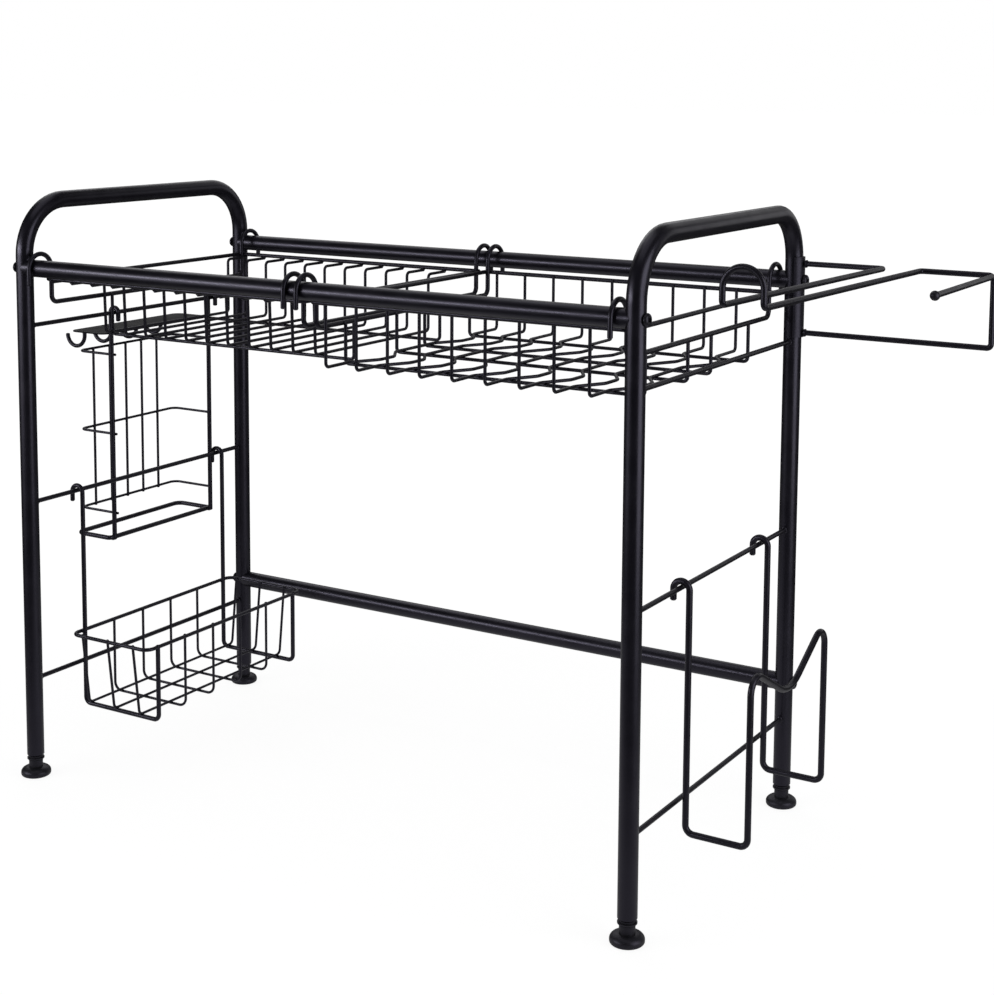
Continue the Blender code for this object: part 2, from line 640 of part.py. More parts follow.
def sponge_basket():
    """Two hooked hangers inside the frame, an oval rim and a cage of thin wires."""
    leg_x = rod_hook_radius(SPONGE_LEG_RADIUS, SPONGE_HOOK_PLAY)
    rim_near = leg_x - touch(SPONGE_LEG_RADIUS, SPONGE_RIM_RADIUS)
    half = SPONGE_HANGER_SPACING / 2
    rim_y = half + SPONGE_RIM_OVERHANG
    wires = []
    for y in (-half, half):
        hook = rod_hook(1, y, SPONGE_LEG_RADIUS, SPONGE_HOOK_PLAY, SPONGE_TIP_DROP)
        tray = [
            ((leg_x, y, -SPONGE_DROP), SPONGE_LEG_BEND),
            ((SPONGE_REACH, y, -SPONGE_DROP), SPONGE_LEG_BEND),
            ((SPONGE_REACH, y, -SPONGE_RIM_DROP), 0)]
        wires.append(rod_along(hook + tray, SPONGE_LEG_RADIUS))
    rim = [
        ((rim_near, -rim_y, -SPONGE_RIM_DROP), SPONGE_RIM_BEND),
        ((SPONGE_REACH, -rim_y, -SPONGE_RIM_DROP), SPONGE_RIM_BEND),
        ((SPONGE_REACH, rim_y, -SPONGE_RIM_DROP), SPONGE_RIM_BEND),
        ((rim_near, rim_y, -SPONGE_RIM_DROP), SPONGE_RIM_BEND)]
    wires.append(rod_along(rim, SPONGE_RIM_RADIUS, closed=True))
    inset = touch(SPONGE_RIM_RADIUS, SPONGE_THIN_RADIUS)
    long_z = -SPONGE_DROP + touch(SPONGE_LEG_RADIUS, SPONGE_THIN_RADIUS)
    cross_z = long_z - touch(SPONGE_THIN_RADIUS, SPONGE_THIN_RADIUS)
    for i in range(SPONGE_CROSS_WIRES):
        y = (i - (SPONGE_CROSS_WIRES - 1) / 2) * SPONGE_CROSS_PITCH
        near = rim_near + inset
        far = SPONGE_REACH - inset
        cross = [
            ((near, y, -SPONGE_RIM_DROP), 0), ((near, y, cross_z), SPONGE_CROSS_BEND),
            ((far, y, cross_z), SPONGE_CROSS_BEND), ((far, y, -SPONGE_RIM_DROP), 0)]
        wires.append(rod_along(cross, SPONGE_THIN_RADIUS))
    for i in range(SPONGE_LONG_WIRES):
        x = SPONGE_LONG_FIRST + i * SPONGE_LONG_PITCH
        top_y = rim_y - inset
        low_y = half + SPONGE_LONG_OVERHANG
        lengthwise = [
            ((x, -top_y, -SPONGE_RIM_DROP), 0), ((x, -low_y, long_z), SPONGE_LONG_BEND),
            ((x, low_y, long_z), SPONGE_LONG_BEND), ((x, top_y, -SPONGE_RIM_DROP), 0)]
        wires.append(rod_along(lengthwise, SPONGE_THIN_RADIUS))
    return welded(wires)


def board_rack():
    """One wire: two hooks, two deep loops and a dipped top between the loops."""
    leg_x = rod_hook_radius(BOARD_WIRE_RADIUS, BOARD_HOOK_PLAY)
    half = BOARD_WIDTH / 2
    front = rod_hook(1, -half, BOARD_WIRE_RADIUS, BOARD_HOOK_PLAY, BOARD_TIP_DROP) + [
        ((leg_x, -half, -BOARD_DROP), BOARD_BEND), ((BOARD_REACH, -half, -BOARD_DROP), BOARD_BEND),
        ((BOARD_REACH, -half, -BOARD_TOP_DROP), BOARD_TOP_BEND)]
    rear = [((x, -y, z), bend) for (x, y, z), bend in front[::-1]]
    dip = [((BOARD_REACH, 0, -BOARD_DIP_DROP), BOARD_DIP_BEND)]
    return rod_along(front + dip + rear, BOARD_WIRE_RADIUS)


# Roll and glass holder, built about the rear right post's axis at rail height

def holder_sleeve():
    """Plate bent round the outer side of the post, with a hole for the rail bolt."""
    inner = TUBE_RADIUS + FIT_GAP
    outer = inner + SLEEVE_WALL
    shell = pipe(outer, inner, -SLEEVE_BELOW, SLEEVE_ABOVE, CUTTER_SIDES)
    reach = outer + CUT_OVERRUN
    angle = SLEEVE_HALF_ANGLE
    wedge = [(0, 0), (reach * cos(angle), reach * sin(angle)), (-reach, reach * sin(angle))]
    outline = wedge + [(x, -y) for x, y in wedge[:0:-1]]
    cutter = prism(outline, -SLEEVE_BELOW - CUT_OVERRUN, SLEEVE_ABOVE + CUT_OVERRUN)
    drill = along_x(cylinder(BOLT_HOLE_RADIUS, 0, reach, BOLT_SIDES))
    shell = combine(shell, [cutter], "DIFFERENCE")
    return combine(shell, [drill], "DIFFERENCE")


def roll_and_glass_holder():
    """Wire from the sleeve round a slanting glass slot, out to the roll rod's corner and back."""
    start = TUBE_RADIUS + SLEEVE_WALL + 2 * FIT_GAP
    high = HOLDER_UPPER_RISE
    low = -HOLDER_LOWER_DROP
    left = SLOT_START
    right = SLOT_START + SLOT_WIDTH
    hoop = high + HOOP_RISE
    front = -HOLDER_DEPTH
    corners = [
        ((start, 0, high), 0), ((left, 0, high), HOLDER_BEND),
        ((left - SLOT_LEAN, front, high), HOLDER_BEND),
        ((left - SLOT_LEAN, front, hoop), SLOT_WIDTH / 2),
        ((right - SLOT_LEAN, front, hoop), SLOT_WIDTH / 2),
        ((right - SLOT_LEAN, front, high), HOLDER_BEND),
        ((right, 0, high), HOLDER_BEND), ((HOLDER_REACH, 0, high), HOLDER_BEND),
        ((HOLDER_REACH, 0, low), HOLDER_BEND), ((start, 0, low), 0)]
    loop = rod_along(corners, HOLDER_WIRE_RADIUS)
    rod_x = HOLDER_REACH - ROLL_ROD_INSET
    rod_z = high - ROLL_ROD_INSET
    run = [((rod_x, 0, rod_z), 0), ((rod_x, -ROLL_ROD_LENGTH, rod_z), 0)]
    rod = rod_along(run, HOLDER_WIRE_RADIUS)
    return welded([loop, rod])


def rod_ball():
    """Ball with a blind hole for the roll rod's end; its origin is the ball's centre."""
    profile = []
    for i in range(BALL_STEPS + 1):
        angle = pi * i / BALL_STEPS
        profile.append((BALL_RADIUS * sin(angle), -BALL_RADIUS * cos(angle)))
    ball = turned(profile, BOLT_SIDES)
    bottom = BALL_RADIUS - BALL_ENGAGEMENT
    drill = cylinder(HOLDER_WIRE_RADIUS + FIT_GAP, bottom, BALL_RADIUS + CUT_OVERRUN, BOLT_SIDES)
    ball = combine(ball, [drill], "DIFFERENCE")
    return reshape(ball, Matrix.Rotation(-pi / 2, 4, "X"))


# Assembly

def build_frame(origin):
    corners = {(-1, -1): "front_left", (1, -1): "front_right", (-1, 1): "rear_left", (1, 1): "rear_right"}
    rail_bolts = [(-HALF_Y, RAIL_HEIGHT), (HALF_Y, RAIL_HEIGHT)]
    bolt_places = rail_bolts + [(HALF_Y, REAR_BAR_HEIGHT)]
    for hand, x in (("left", -HALF_X), ("right", HALF_X)):
        arch = side_frame(ARCH_BENDS[hand], bolt_places)
        finished(arch, f"{hand}_side_frame", BLACK_COAT, origin, (x, 0, 0))
        levels = {
            "upper": TOP_ROD_HEIGHT, "middle": MIDDLE_ROD_HEIGHTS[hand],
            "lower": LOWER_ROD_HEIGHTS[hand]}
        for level, height in levels.items():
            finished(side_rod(), f"{hand}_{level}_rod", BLACK_COAT, origin, (x, 0, height))
    tubes = {
        "front_rail": (-HALF_Y, RAIL_HEIGHT), "rear_rail": (HALF_Y, RAIL_HEIGHT),
        "lower_rear_bar": (HALF_Y, REAR_BAR_HEIGHT)}
    for name, (y, z) in tubes.items():
        finished(cross_tube(), name, BLACK_COAT, origin, (0, y, z))
        for side, hand in ((-1, "left"), (1, "right")):
            seat = TUBE_RADIUS + FIT_GAP
            if name == "rear_rail" and side == 1:
                seat += SLEEVE_WALL + FIT_GAP
            place = (side * HALF_X, y, z)
            finished(threaded_insert(side), f"{name}_{hand}_insert", BRIGHT_STEEL, origin, place)
            finished(bolt(side, seat), f"{name}_{hand}_bolt", BLACK_STEEL, origin, place)
    for (side_x, side_y), name in corners.items():
        place = (side_x * HALF_X, side_y * HALF_Y, 0)
        finished(levelling_foot(), f"{name}_foot", BLACK_PLASTIC, origin, place)
        finished(leg_plug(), f"{name}_leg_plug", BLACK_PLASTIC, origin, place)


def build_accessories(origin):
    finished(plate_basket(), "plate_basket", BLACK_COAT, origin, (-BASKET_X, 0, RAIL_HEIGHT))
    finished(bowl_basket(), "bowl_basket", BLACK_COAT, origin, (BASKET_X, 0, RAIL_HEIGHT))
    place = Vector((-HALF_X, UTENSIL_PLACE, TOP_ROD_HEIGHT))
    finished(utensil_holder(), "utensil_holder", BLACK_COAT, origin, place)
    finished(hook_plate(), "hook_plate", BLACK_COAT, origin, place)
    for i in range(J_HOOKS):
        along = J_HOOK_SHIFT + (i - (J_HOOKS - 1) / 2) * J_HOOK_PITCH
        finished(j_hook(), f"plate_hook_{i + 1}", BLACK_COAT, origin, place + Vector((0, along, 0)))
    place = (-HALF_X, SPONGE_PLACE, MIDDLE_ROD_HEIGHTS["left"])
    finished(sponge_basket(), "sponge_basket", BLACK_COAT, origin, place)
    place = (HALF_X, BOARD_PLACE, MIDDLE_ROD_HEIGHTS["right"])
    finished(board_rack(), "board_rack", BLACK_COAT, origin, place)
    place = Vector((HALF_X, HALF_Y, RAIL_HEIGHT))
    finished(holder_sleeve(), "holder_sleeve", BLACK_COAT, origin, place)
    finished(roll_and_glass_holder(), "roll_and_glass_holder", BLACK_COAT, origin, place)
    reach = ROLL_ROD_LENGTH + FIT_GAP + BALL_RADIUS - BALL_ENGAGEMENT
    high = HOLDER_UPPER_RISE - ROLL_ROD_INSET
    centre = place + Vector((HOLDER_REACH - ROLL_ROD_INSET, -reach, high))
    finished(rod_ball(), "rod_ball", BLACK_PLASTIC, origin, centre)


def main():
    clear_scene()
    origin = new_object("rack_origin", None)
    origin.location = (-(LEFTMOST + RIGHTMOST) / 2, 0, 0)
    build_frame(origin)
    build_accessories(origin)


main()
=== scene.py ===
"""The looks of the over sink dish rack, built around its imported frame.

Smooth tubes, wires, welds, bolts and feet stand for the faceted solids. Every
place starts from the frame's own boxes; lengths are in metres, +Z is up.
"""

from math import cos, pi, radians, sin, sqrt, tan

import bpy
from mathutils import Matrix, Vector, noise


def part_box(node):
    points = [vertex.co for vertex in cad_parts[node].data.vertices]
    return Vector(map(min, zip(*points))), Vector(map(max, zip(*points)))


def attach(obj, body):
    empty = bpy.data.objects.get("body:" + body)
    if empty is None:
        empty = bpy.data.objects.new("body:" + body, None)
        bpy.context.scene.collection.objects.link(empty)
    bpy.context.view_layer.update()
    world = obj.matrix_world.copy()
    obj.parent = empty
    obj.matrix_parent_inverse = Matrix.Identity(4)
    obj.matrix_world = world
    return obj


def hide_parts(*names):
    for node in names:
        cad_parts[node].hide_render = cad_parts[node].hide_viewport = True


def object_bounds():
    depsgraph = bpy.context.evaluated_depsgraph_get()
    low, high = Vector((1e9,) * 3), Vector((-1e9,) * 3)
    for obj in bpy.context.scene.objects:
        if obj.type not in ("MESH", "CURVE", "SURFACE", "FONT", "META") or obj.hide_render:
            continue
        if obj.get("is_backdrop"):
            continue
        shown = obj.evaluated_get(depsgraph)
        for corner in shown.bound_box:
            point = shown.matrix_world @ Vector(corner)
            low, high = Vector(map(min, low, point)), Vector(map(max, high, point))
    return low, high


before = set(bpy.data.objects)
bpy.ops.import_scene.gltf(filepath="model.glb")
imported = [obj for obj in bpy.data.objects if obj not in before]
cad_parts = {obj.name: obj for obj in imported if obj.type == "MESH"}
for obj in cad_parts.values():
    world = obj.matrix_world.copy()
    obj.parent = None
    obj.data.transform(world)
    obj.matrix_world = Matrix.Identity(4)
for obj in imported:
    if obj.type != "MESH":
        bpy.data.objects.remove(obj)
cad_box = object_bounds()


def middle(node_name):
    """Middle of a node's box."""
    low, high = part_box(node_name)
    return (low + high) / 2


# Sizes read from the frame
LEFT_X = middle("left_side_frame").x
RIGHT_X = middle("right_side_frame").x
CENTRE_X = (LEFT_X + RIGHT_X) / 2
HALF_X = (RIGHT_X - LEFT_X) / 2
HALF_Y = middle("rear_rail").y
RAIL_Z = middle("front_rail").z
BAR_Z = middle("lower_rear_bar").z
ARCH_TOP_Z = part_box("left_side_frame")[1].z

# Where the posts, the side rods and the tubes from side to side are
OUTWARD = {"left": -1, "right": 1}
POST_XS = {"left": LEFT_X, "right": RIGHT_X}
POST_YS = {"front": -HALF_Y, "rear": HALF_Y}
ROD_LEVELS = ("upper", "middle", "lower")
CROSS_TUBES = {
    "front_rail": (-HALF_Y, RAIL_Z), "rear_rail": (HALF_Y, RAIL_Z), "lower_rear_bar": (HALF_Y, BAR_Z)}

# Frame
TUBE_RADIUS = 0.008
TUBE_WALL = 0.0012
ARCH_BENDS = {"left": (0.050, 0.048), "right": (0.050, 0.042)}
ROD_RADIUS = 0.00215
FIT_GAP = 0.0003
WELD_SHARE = 0.2
ROD_WELD_SPREAD = 0.0011
ROD_WELD_LENGTH = 0.0016

# Bolts
HEAD_RADIUS = 0.00525
HEAD_HEIGHT = 0.0033
HEAD_RIM = 0.0009
HEAD_EDGE = 0.0003
SHANK_RADIUS = 0.003
SHANK_REACH = 0.021
SOCKET_RADIUS = 0.0023
SOCKET_DEPTH = 0.0018
SOCKET_SIDES = 6
SOCKET_MOUTH_SHARE = 1.12

# Feet and leg plugs
PAD_RADIUS = 0.014
PAD_CHAMFER = 0.0022
PAD_EDGE_HEIGHT = 0.0035
AXIS_RADIUS = 0.0001
NECK_RADIUS = 0.0065
NECK_START = 0.0085
POST_END = 0.0155
STEM_RADIUS = 0.004
STEM_TOP = 0.0355
THREAD_PITCH = 0.00125
THREAD_DEPTH = 0.0004
PLUG_FLANGE = 0.002
PLUG_CHAMFER = 0.0008
PLUG_LENGTH = 0.022

# Both hung baskets
HANGER_RADIUS = 0.0022
RIM_RADIUS = 0.0020
GRID_RADIUS = 0.00145
CROSS_RADIUS = 0.0016
POST_CLEARANCE = 0.0029
BASKET_GAP = 0.0026
HOOK_PLAY = 0.0038
HOOK_LEAN = radians(80)
HOOK_TIP_DROP = 0.015
HANGER_DROP = 0.033
HANGER_BEND = 0.0065
RIM_DROP = 0.011
RIM_BEND = 0.006
GRID_BEND = 0.004
RIM_NUGGET_SHARE = 1.1
GRID_NUGGET_SHARE = 1.2
CROSS_NUGGET_SHARE = 1.15

# Plate basket
PLATE_NUGGET_SHARE = 1.1
PLATE_WIRES = 11
PLATE_FIRST_INSET = 0.0035
PLATE_LAST_INSET = 0.0385
PLATE_DEPTH = 0.0585
PLATE_LEDGE = 0.0688
PLATE_LEAN = 0.002
PLATE_REAR_LEDGE = 0.030
PLATE_CROSS_INSETS = (0.0095, 0.0338)

# Bowl basket
BOWL_WIRES = 9
BOWL_FIRST_INSET = 0.0103
BOWL_DEPTH = 0.055
BOWL_WAVE = 0.014
BOWL_WAVE_SHARES = ((-0.745, -0.25), (0.19, 0.675))
BOWL_SHOULDER_SHARES = (0.38, 0.69)
BOWL_WAVE_BEND = 0.0115
BOWL_CROSS_SHARES = (-0.71, -0.16, 0.16, 0.71)

# Utensil holder
UTENSIL_PLACE = 0.0348
UTENSIL_WIDTH = 0.1465
UTENSIL_REACH = 0.052
UTENSIL_DROP = 0.2285
UTENSIL_LEG_RADIUS = 0.0023
UTENSIL_THIN_RADIUS = 0.0013
UTENSIL_HOOK_PLAY = 0.0004
UTENSIL_TIP_DROP = 0.0085
UTENSIL_LEG_TAIL = 0.0015
UTENSIL_RING_DROPS = (0.043, 0.123, 0.2035)
UTENSIL_RING_TAIL = 0.003
UTENSIL_RING_BEND = 0.008
UTENSIL_BASE_OVERHANG = 0.003
UTENSIL_BASE_NEAR_BEND = 0.004
UTENSIL_BASE_NUGGET_SHARE = 1.1
UTENSIL_RING_NUGGET_SHARE = 1.3
UPRIGHTS = 5
UPRIGHT_PITCH = 0.0235
UPRIGHT_SHIFT = -0.0049
UPRIGHT_NUGGET_SHARE = 1.2

# Hook plate and its J hooks
HOOK_PLATE_CORNER = 0.010
HOOK_PLATE_EDGE = 0.0003
J_HOOKS = 4
J_HOOK_RADIUS = 0.0020
J_HOOK_BEND = 0.0115
J_HOOK_SHANK = 0.004
J_HOOK_TIP = 0.0005
J_HOOK_WELD_SHARE = 1.5

# Sponge basket
SPONGE_PLACE = 0.010
SPONGE_HANGER_SPACING = 0.208
SPONGE_REACH = 0.1005
SPONGE_DROP = 0.2115
SPONGE_RIM_DROP = 0.1395
SPONGE_RIM_OVERHANG = 0.0145
SPONGE_RIM_BEND = 0.009
SPONGE_LEG_RADIUS = 0.0022
SPONGE_RIM_RADIUS = 0.0018
SPONGE_THIN_RADIUS = 0.0013
SPONGE_TIP_DROP = 0.0115
SPONGE_HOOK_PLAY = 0.0022
SPONGE_LEG_BEND = 0.006
SPONGE_CROSS_WIRES = 4
SPONGE_CROSS_PITCH = 0.0417
SPONGE_CROSS_BEND = 0.008
SPONGE_LONG_WIRES = 3
SPONGE_LONG_FIRST = 0.015
SPONGE_LONG_PITCH = 0.0323
SPONGE_LONG_BEND = 0.005
SPONGE_LONG_OVERHANG = 0.004
SPONGE_LEG_NUGGET_SHARE = 1.12
SPONGE_RIM_NUGGET_SHARE = 1.3
SPONGE_FLOOR_NUGGET_SHARE = 1.15

# Board rack
BOARD_PLACE = 0.0122
BOARD_WIDTH = 0.1605
BOARD_REACH = 0.0615
BOARD_DROP = 0.2035
BOARD_TOP_DROP = 0.0575
BOARD_DIP_DROP = 0.101
BOARD_RADIUS = 0.00275
BOARD_TIP_DROP = 0.0115
BOARD_HOOK_PLAY = 0.0022
BOARD_BEND = 0.007
BOARD_TOP_BEND = 0.013
BOARD_DIP_BEND = 0.045

# Roll and glass holder
SLEEVE_WALL = 0.0015
SLEEVE_ABOVE = 0.021
SLEEVE_BELOW = 0.051
SLEEVE_HALF_ANGLE = radians(70)
HOLDER_RADIUS = 0.0025
HOLDER_REACH = 0.1785
HOLDER_DEPTH = 0.309
HOLDER_RISE = 0.015
HOLDER_DROP = 0.047
HOLDER_BEND = 0.004
HOLDER_WELD_DEPTH_SHARE = 0.6
HOLDER_WELD_WIDTH_SHARE = 1.7
HOLDER_WELD_HEIGHT_SHARE = 0.9
SLOT_START = 0.083
SLOT_WIDTH = 0.0325
SLOT_LEAN = 0.015
HOOP_RISE = 0.029
ROLL_ROD_LENGTH = 0.155
ROLL_ROD_INSET = HOLDER_BEND * (1 - cos(pi / 4))
BALL_RADIUS = 0.004

# Smoothness
TUBE_SIDES = 48
WIRE_SIDES = 16
THIN_SIDES = 12
TURNED_SIDES = 64
BOLT_SIDES = 60
DOME_STEPS = 8
PAD_EDGE_STEPS = 5
NECK_STEPS = 12
SLEEVE_STEPS = 24
BALL_STEPS = 24
ARC_STEP = radians(7)
MITRE_FLOOR = 0.5
END_ROUND_SHARE = 0.35
BEAD_RINGS = 6
BEAD_SIDES = 10
BEAD_LUMP_SHARE = 0.12
BEAD_LUMP_SCALE = 2
SMOOTH_ANGLE = radians(38)
SAME_POINT = 0.000001


# Paths

def arc_points(corner, back, ahead, bend):
    """Arc that rounds a corner, in steps fine enough to look round."""
    turn = pi - back.angle(ahead)
    cut = bend * tan(turn / 2)
    centre = corner + (back + ahead).normalized() * (bend / cos(turn / 2))
    spoke = corner + back * cut - centre
    axis = spoke.cross(corner + ahead * cut - centre).normalized()
    steps = max(2, round(turn / ARC_STEP))
    return [centre + Matrix.Rotation(turn * i / steps, 3, axis) @ spoke for i in range(steps + 1)]


def bent_path(corners, closed=False):
    """Points along straight runs joined by arcs; each corner is a place and its bend radius."""
    places = [Vector(place) for place, bend in corners]
    path = []
    for index, (place, bend) in enumerate(corners):
        here = places[index]
        at_end = not closed and index in (0, len(corners) - 1)
        if at_end or bend == 0:
            points = [here]
        else:
            back = (places[index - 1] - here).normalized()
            ahead = (places[(index + 1) % len(places)] - here).normalized()
            points = arc_points(here, back, ahead, bend)
        for point in points:
            if not path or (point - path[-1]).length > SAME_POINT:
                path.append(point)
    if closed and (path[0] - path[-1]).length <= SAME_POINT:
        path.pop()
    return path


def path_directions(path, closed):
    """Direction at each point of a path, from the point before it to the point after it."""
    count = len(path)
    directions = []
    for i in range(count):
        before = path[i - 1] if closed or i > 0 else path[i]
        after = path[(i + 1) % count] if closed or i < count - 1 else path[i]
        directions.append((after - before).normalized())
    return directions


def open_bends(places, bend):
    """Corners of an open wire that has the same bend radius at each corner between its ends."""
    return [(places[0], 0), *((place, bend) for place in places[1:-1]), (places[-1], 0)]


def rectangle(x_span, y_span, z, bend):
    """Corners of a flat closed loop with four equal bends."""
    (low_x, high_x), (low_y, high_y) = x_span, y_span
    return [
        ((low_x, low_y, z), bend), ((high_x, low_y, z), bend),
        ((high_x, high_y, z), bend), ((low_x, high_y, z), bend)]


def touch(radius_a, radius_b):
    """Distance between the centre lines of two wires that are welded together."""
    return (radius_a + radius_b) * (1 - WELD_SHARE)


# Rings of points

def circle(radius, height, sides):
    """Ring round the Z axis."""
    ring = []
    for k in range(sides):
        angle = 2 * pi * k / sides
        ring.append(Vector((radius * cos(angle), radius * sin(angle), height)))
    return ring


def socket_ring(height):
    """The socket's hexagon, with as many points as the rings of the bolt."""
    half_side = pi / SOCKET_SIDES
    ring = []
    for k in range(BOLT_SIDES):
        angle = 2 * pi * k / BOLT_SIDES
        within = (angle % (2 * half_side)) - half_side
        radius = SOCKET_RADIUS * cos(half_side) / cos(within)
        ring.append(Vector((radius * cos(angle), radius * sin(angle), height)))
    return ring


def wire_ring(point, across, up, radius, sides, turn, mitre):
    """Ring round a wire, widened by the mitre in the direction in which the path turns."""
    ring = []
    for k in range(sides):
        angle = 2 * pi * k / sides
        offset = across * (cos(angle) * radius) + up * (sin(angle) * radius)
        if turn:
            offset += turn * (offset.dot(turn) * (mitre - 1))
        ring.append(point + offset)
    return ring


def rounded_end(rim, centre, inward, radius):
    """Two rings in place of a wire's last one, the outer first, that take the edge off its cut end."""
    tip = [centre + (point - centre) * (1 - END_ROUND_SHARE) for point in rim]
    set_back = [point + inward * (radius * END_ROUND_SHARE) for point in rim]
    return [tip, set_back]


class Shape:
    """Gathers the surfaces of one piece, built about its own place, into one mesh."""

    def __init__(self, place=(0, 0, 0)):
        self.place = Vector(place)
        self.verts = []
        self.faces = []

    def skin(self, rings, closed=False, caps=True):
        """Skin a list of point rings, all with the same number of points."""
        count = len(rings[0])
        base = len(self.verts)
        for ring in rings:
            self.verts += [self.place + point for point in ring]
        pairs = list(range(len(rings) - 1))
        if closed:
            pairs.append(len(rings) - 1)
        for i in pairs:
            here = base + i * count
            there = base + (i + 1) % len(rings) * count
            for k in range(count):
                after = (k + 1) % count
                self.faces.append((here + k, here + after, there + after, there + k))
        if caps and not closed:
            self.faces.append(tuple(base + k for k in reversed(range(count))))
            last = base + (len(rings) - 1) * count
            self.faces.append(tuple(last + k for k in range(count)))

    def wire(self, corners, radius, closed=False, sides=WIRE_SIDES):
        """Round wire bent through the corners, its cut ends slightly rounded."""
        path = bent_path(corners, closed)
        directions = path_directions(path, closed)
        across = directions[0].orthogonal().normalized()
        rings = []
        for i, (point, along) in enumerate(zip(path, directions)):
            across = (across - along * across.dot(along)).normalized()
            mitre = 1.0
            if closed or 0 < i < len(path) - 1:
                arriving = (point - path[i - 1]).normalized()
                mitre = 1 / max(along.dot(arriving), MITRE_FLOOR)
            change = along - directions[i - 1] if i else Vector()
            turn = change.normalized() if change.length > SAME_POINT else None
            rings.append(wire_ring(point, across, along.cross(across), radius, sides, turn, mitre))
        if not closed:
            rings[:1] = rounded_end(rings[0], path[0], directions[0], radius)
            rings[-1:] = reversed(rounded_end(rings[-1], path[-1], -directions[-1], radius))
        self.skin(rings, closed=closed)

    def turned(self, profile, matrix=None, sides=TURNED_SIDES, closed=False):
        """Surface turned about Z from (radius, height) points, then moved by the matrix."""
        matrix = matrix or Matrix.Identity(4)
        rings = [[matrix @ spot for spot in circle(radius, height, sides)] for radius, height in profile]
        self.skin(rings, closed=closed, caps=not closed)

    def bead(self, centre, size, seed=0):
        """Slightly lumpy drop of weld metal with the given half sizes."""
        rings = []
        for i in range(1, BEAD_RINGS):
            tilt = pi * i / BEAD_RINGS
            ring = []
            for k in range(BEAD_SIDES):
                turn = 2 * pi * k / BEAD_SIDES
                unit = Vector((sin(tilt) * cos(turn), sin(tilt) * sin(turn), -cos(tilt)))
                lump = 1 + BEAD_LUMP_SHARE * noise.noise(unit * BEAD_LUMP_SCALE + Vector((seed, 0, 0)))
                ring.append(Vector(centre) + Vector([way * half * lump for way, half in zip(unit, size)]))
            rings.append(ring)
        self.skin(rings)

    def nugget(self, spot, radius, seed):
        """The small squeezed weld where two wires cross."""
        self.bead(spot, (radius, radius, radius), seed)

    def piece(self, name, body, nodes, material):
        """Turn the gathered surfaces into a piece that stands for the nodes and rides on the body."""
        mesh = bpy.data.meshes.new(name)
        mesh.from_pydata(self.verts, [], self.faces)
        mesh.validate()
        mesh.update()
        thing = bpy.data.objects.new(name, mesh)
        bpy.context.scene.collection.objects.link(thing)
        mesh.materials.append(material)
        mesh.shade_smooth()
        mesh.set_sharp_from_angle(angle=SMOOTH_ANGLE)
        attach(thing, body)
        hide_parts(*nodes)


# Materials

GLOSS_TINT = (0.80, 0.76, 1.0)
CLOUD_SCALE = 45.0
CLOUD_DETAIL = 4.0
CLOUD_TONE_RANGE = (0.35, 0.68)
CLOUD_GLOSS_RANGE = (0.3, 0.7)
SMOOTHER_BY = 0.04
ROUGHER_BY = 0.05
GRAIN_DETAIL = 3.0
RELIEF_STRENGTH = 0.6
WORN_EDGE_RANGE = (0.54, 0.66)
WORN_LIMIT = 0.55


def node(tree, kind, inputs=None, **settings):
    """New shader node with its settings made and its inputs set or linked."""
    made = tree.nodes.new(kind)
    for key, value in settings.items():
        setattr(made, key, value)
    for key, value in (inputs or {}).items():
        if isinstance(value, bpy.types.NodeSocket):
            tree.links.new(value, made.inputs[key])
        else:
            made.inputs[key].default_value = value
    return made


def worn_colour(tree, colour, worn):
    """The colour, going over to the worn one along sharp outer edges."""
    edge = node(tree, "ShaderNodeNewGeometry").outputs["Pointiness"]
    share = node(tree, "ShaderNodeMapRange", {
        "Value": edge, "From Min": WORN_EDGE_RANGE[0], "From Max": WORN_EDGE_RANGE[1],
        "To Min": 0.0, "To Max": WORN_LIMIT})
    mix = node(tree, "ShaderNodeMix", {"Factor": share.outputs["Result"]}, data_type="RGBA")
    tree.links.new(colour, mix.inputs["A"])
    mix.inputs["B"].default_value = (*worn, 1)
    return mix.outputs["Result"]


def finish_material(name, dark, light, rough, grain, depth, specular, metallic=0.0, worn=None):
    """Coated, moulded or plated surface: fine relief, cloudy colour and gloss, worn edges if asked."""
    material = bpy.data.materials.new(name)
    material.use_nodes = True
    tree = material.node_tree
    shader = tree.nodes["Principled BSDF"]
    shader.inputs["Metallic"].default_value = metallic
    shader.inputs["Specular IOR Level"].default_value = specular
    shader.inputs["Specular Tint"].default_value = (*GLOSS_TINT, 1)
    place = node(tree, "ShaderNodeTexCoord").outputs["Object"]
    cloud = node(tree, "ShaderNodeTexNoise", {
        "Vector": place, "Scale": CLOUD_SCALE, "Detail": CLOUD_DETAIL})
    tone = node(tree, "ShaderNodeValToRGB", {"Fac": cloud.outputs["Fac"]})
    for stop, position, colour in zip(tone.color_ramp.elements, CLOUD_TONE_RANGE, (dark, light)):
        stop.position = position
        stop.color = (*colour, 1)
    colour = tone.outputs["Color"]
    if worn:
        colour = worn_colour(tree, colour, worn)
    tree.links.new(colour, shader.inputs["Base Color"])
    gloss = node(tree, "ShaderNodeMapRange", {
        "Value": cloud.outputs["Fac"], "From Min": CLOUD_GLOSS_RANGE[0], "From Max": CLOUD_GLOSS_RANGE[1],
        "To Min": rough - SMOOTHER_BY, "To Max": rough + ROUGHER_BY})
    tree.links.new(gloss.outputs["Result"], shader.inputs["Roughness"])
    fine = node(tree, "ShaderNodeTexNoise", {"Vector": place, "Scale": grain, "Detail": GRAIN_DETAIL})
    relief = node(tree, "ShaderNodeBump", {
        "Height": fine.outputs["Fac"], "Strength": RELIEF_STRENGTH, "Distance": depth})
    tree.links.new(relief.outputs["Normal"], shader.inputs["Normal"])
    return material


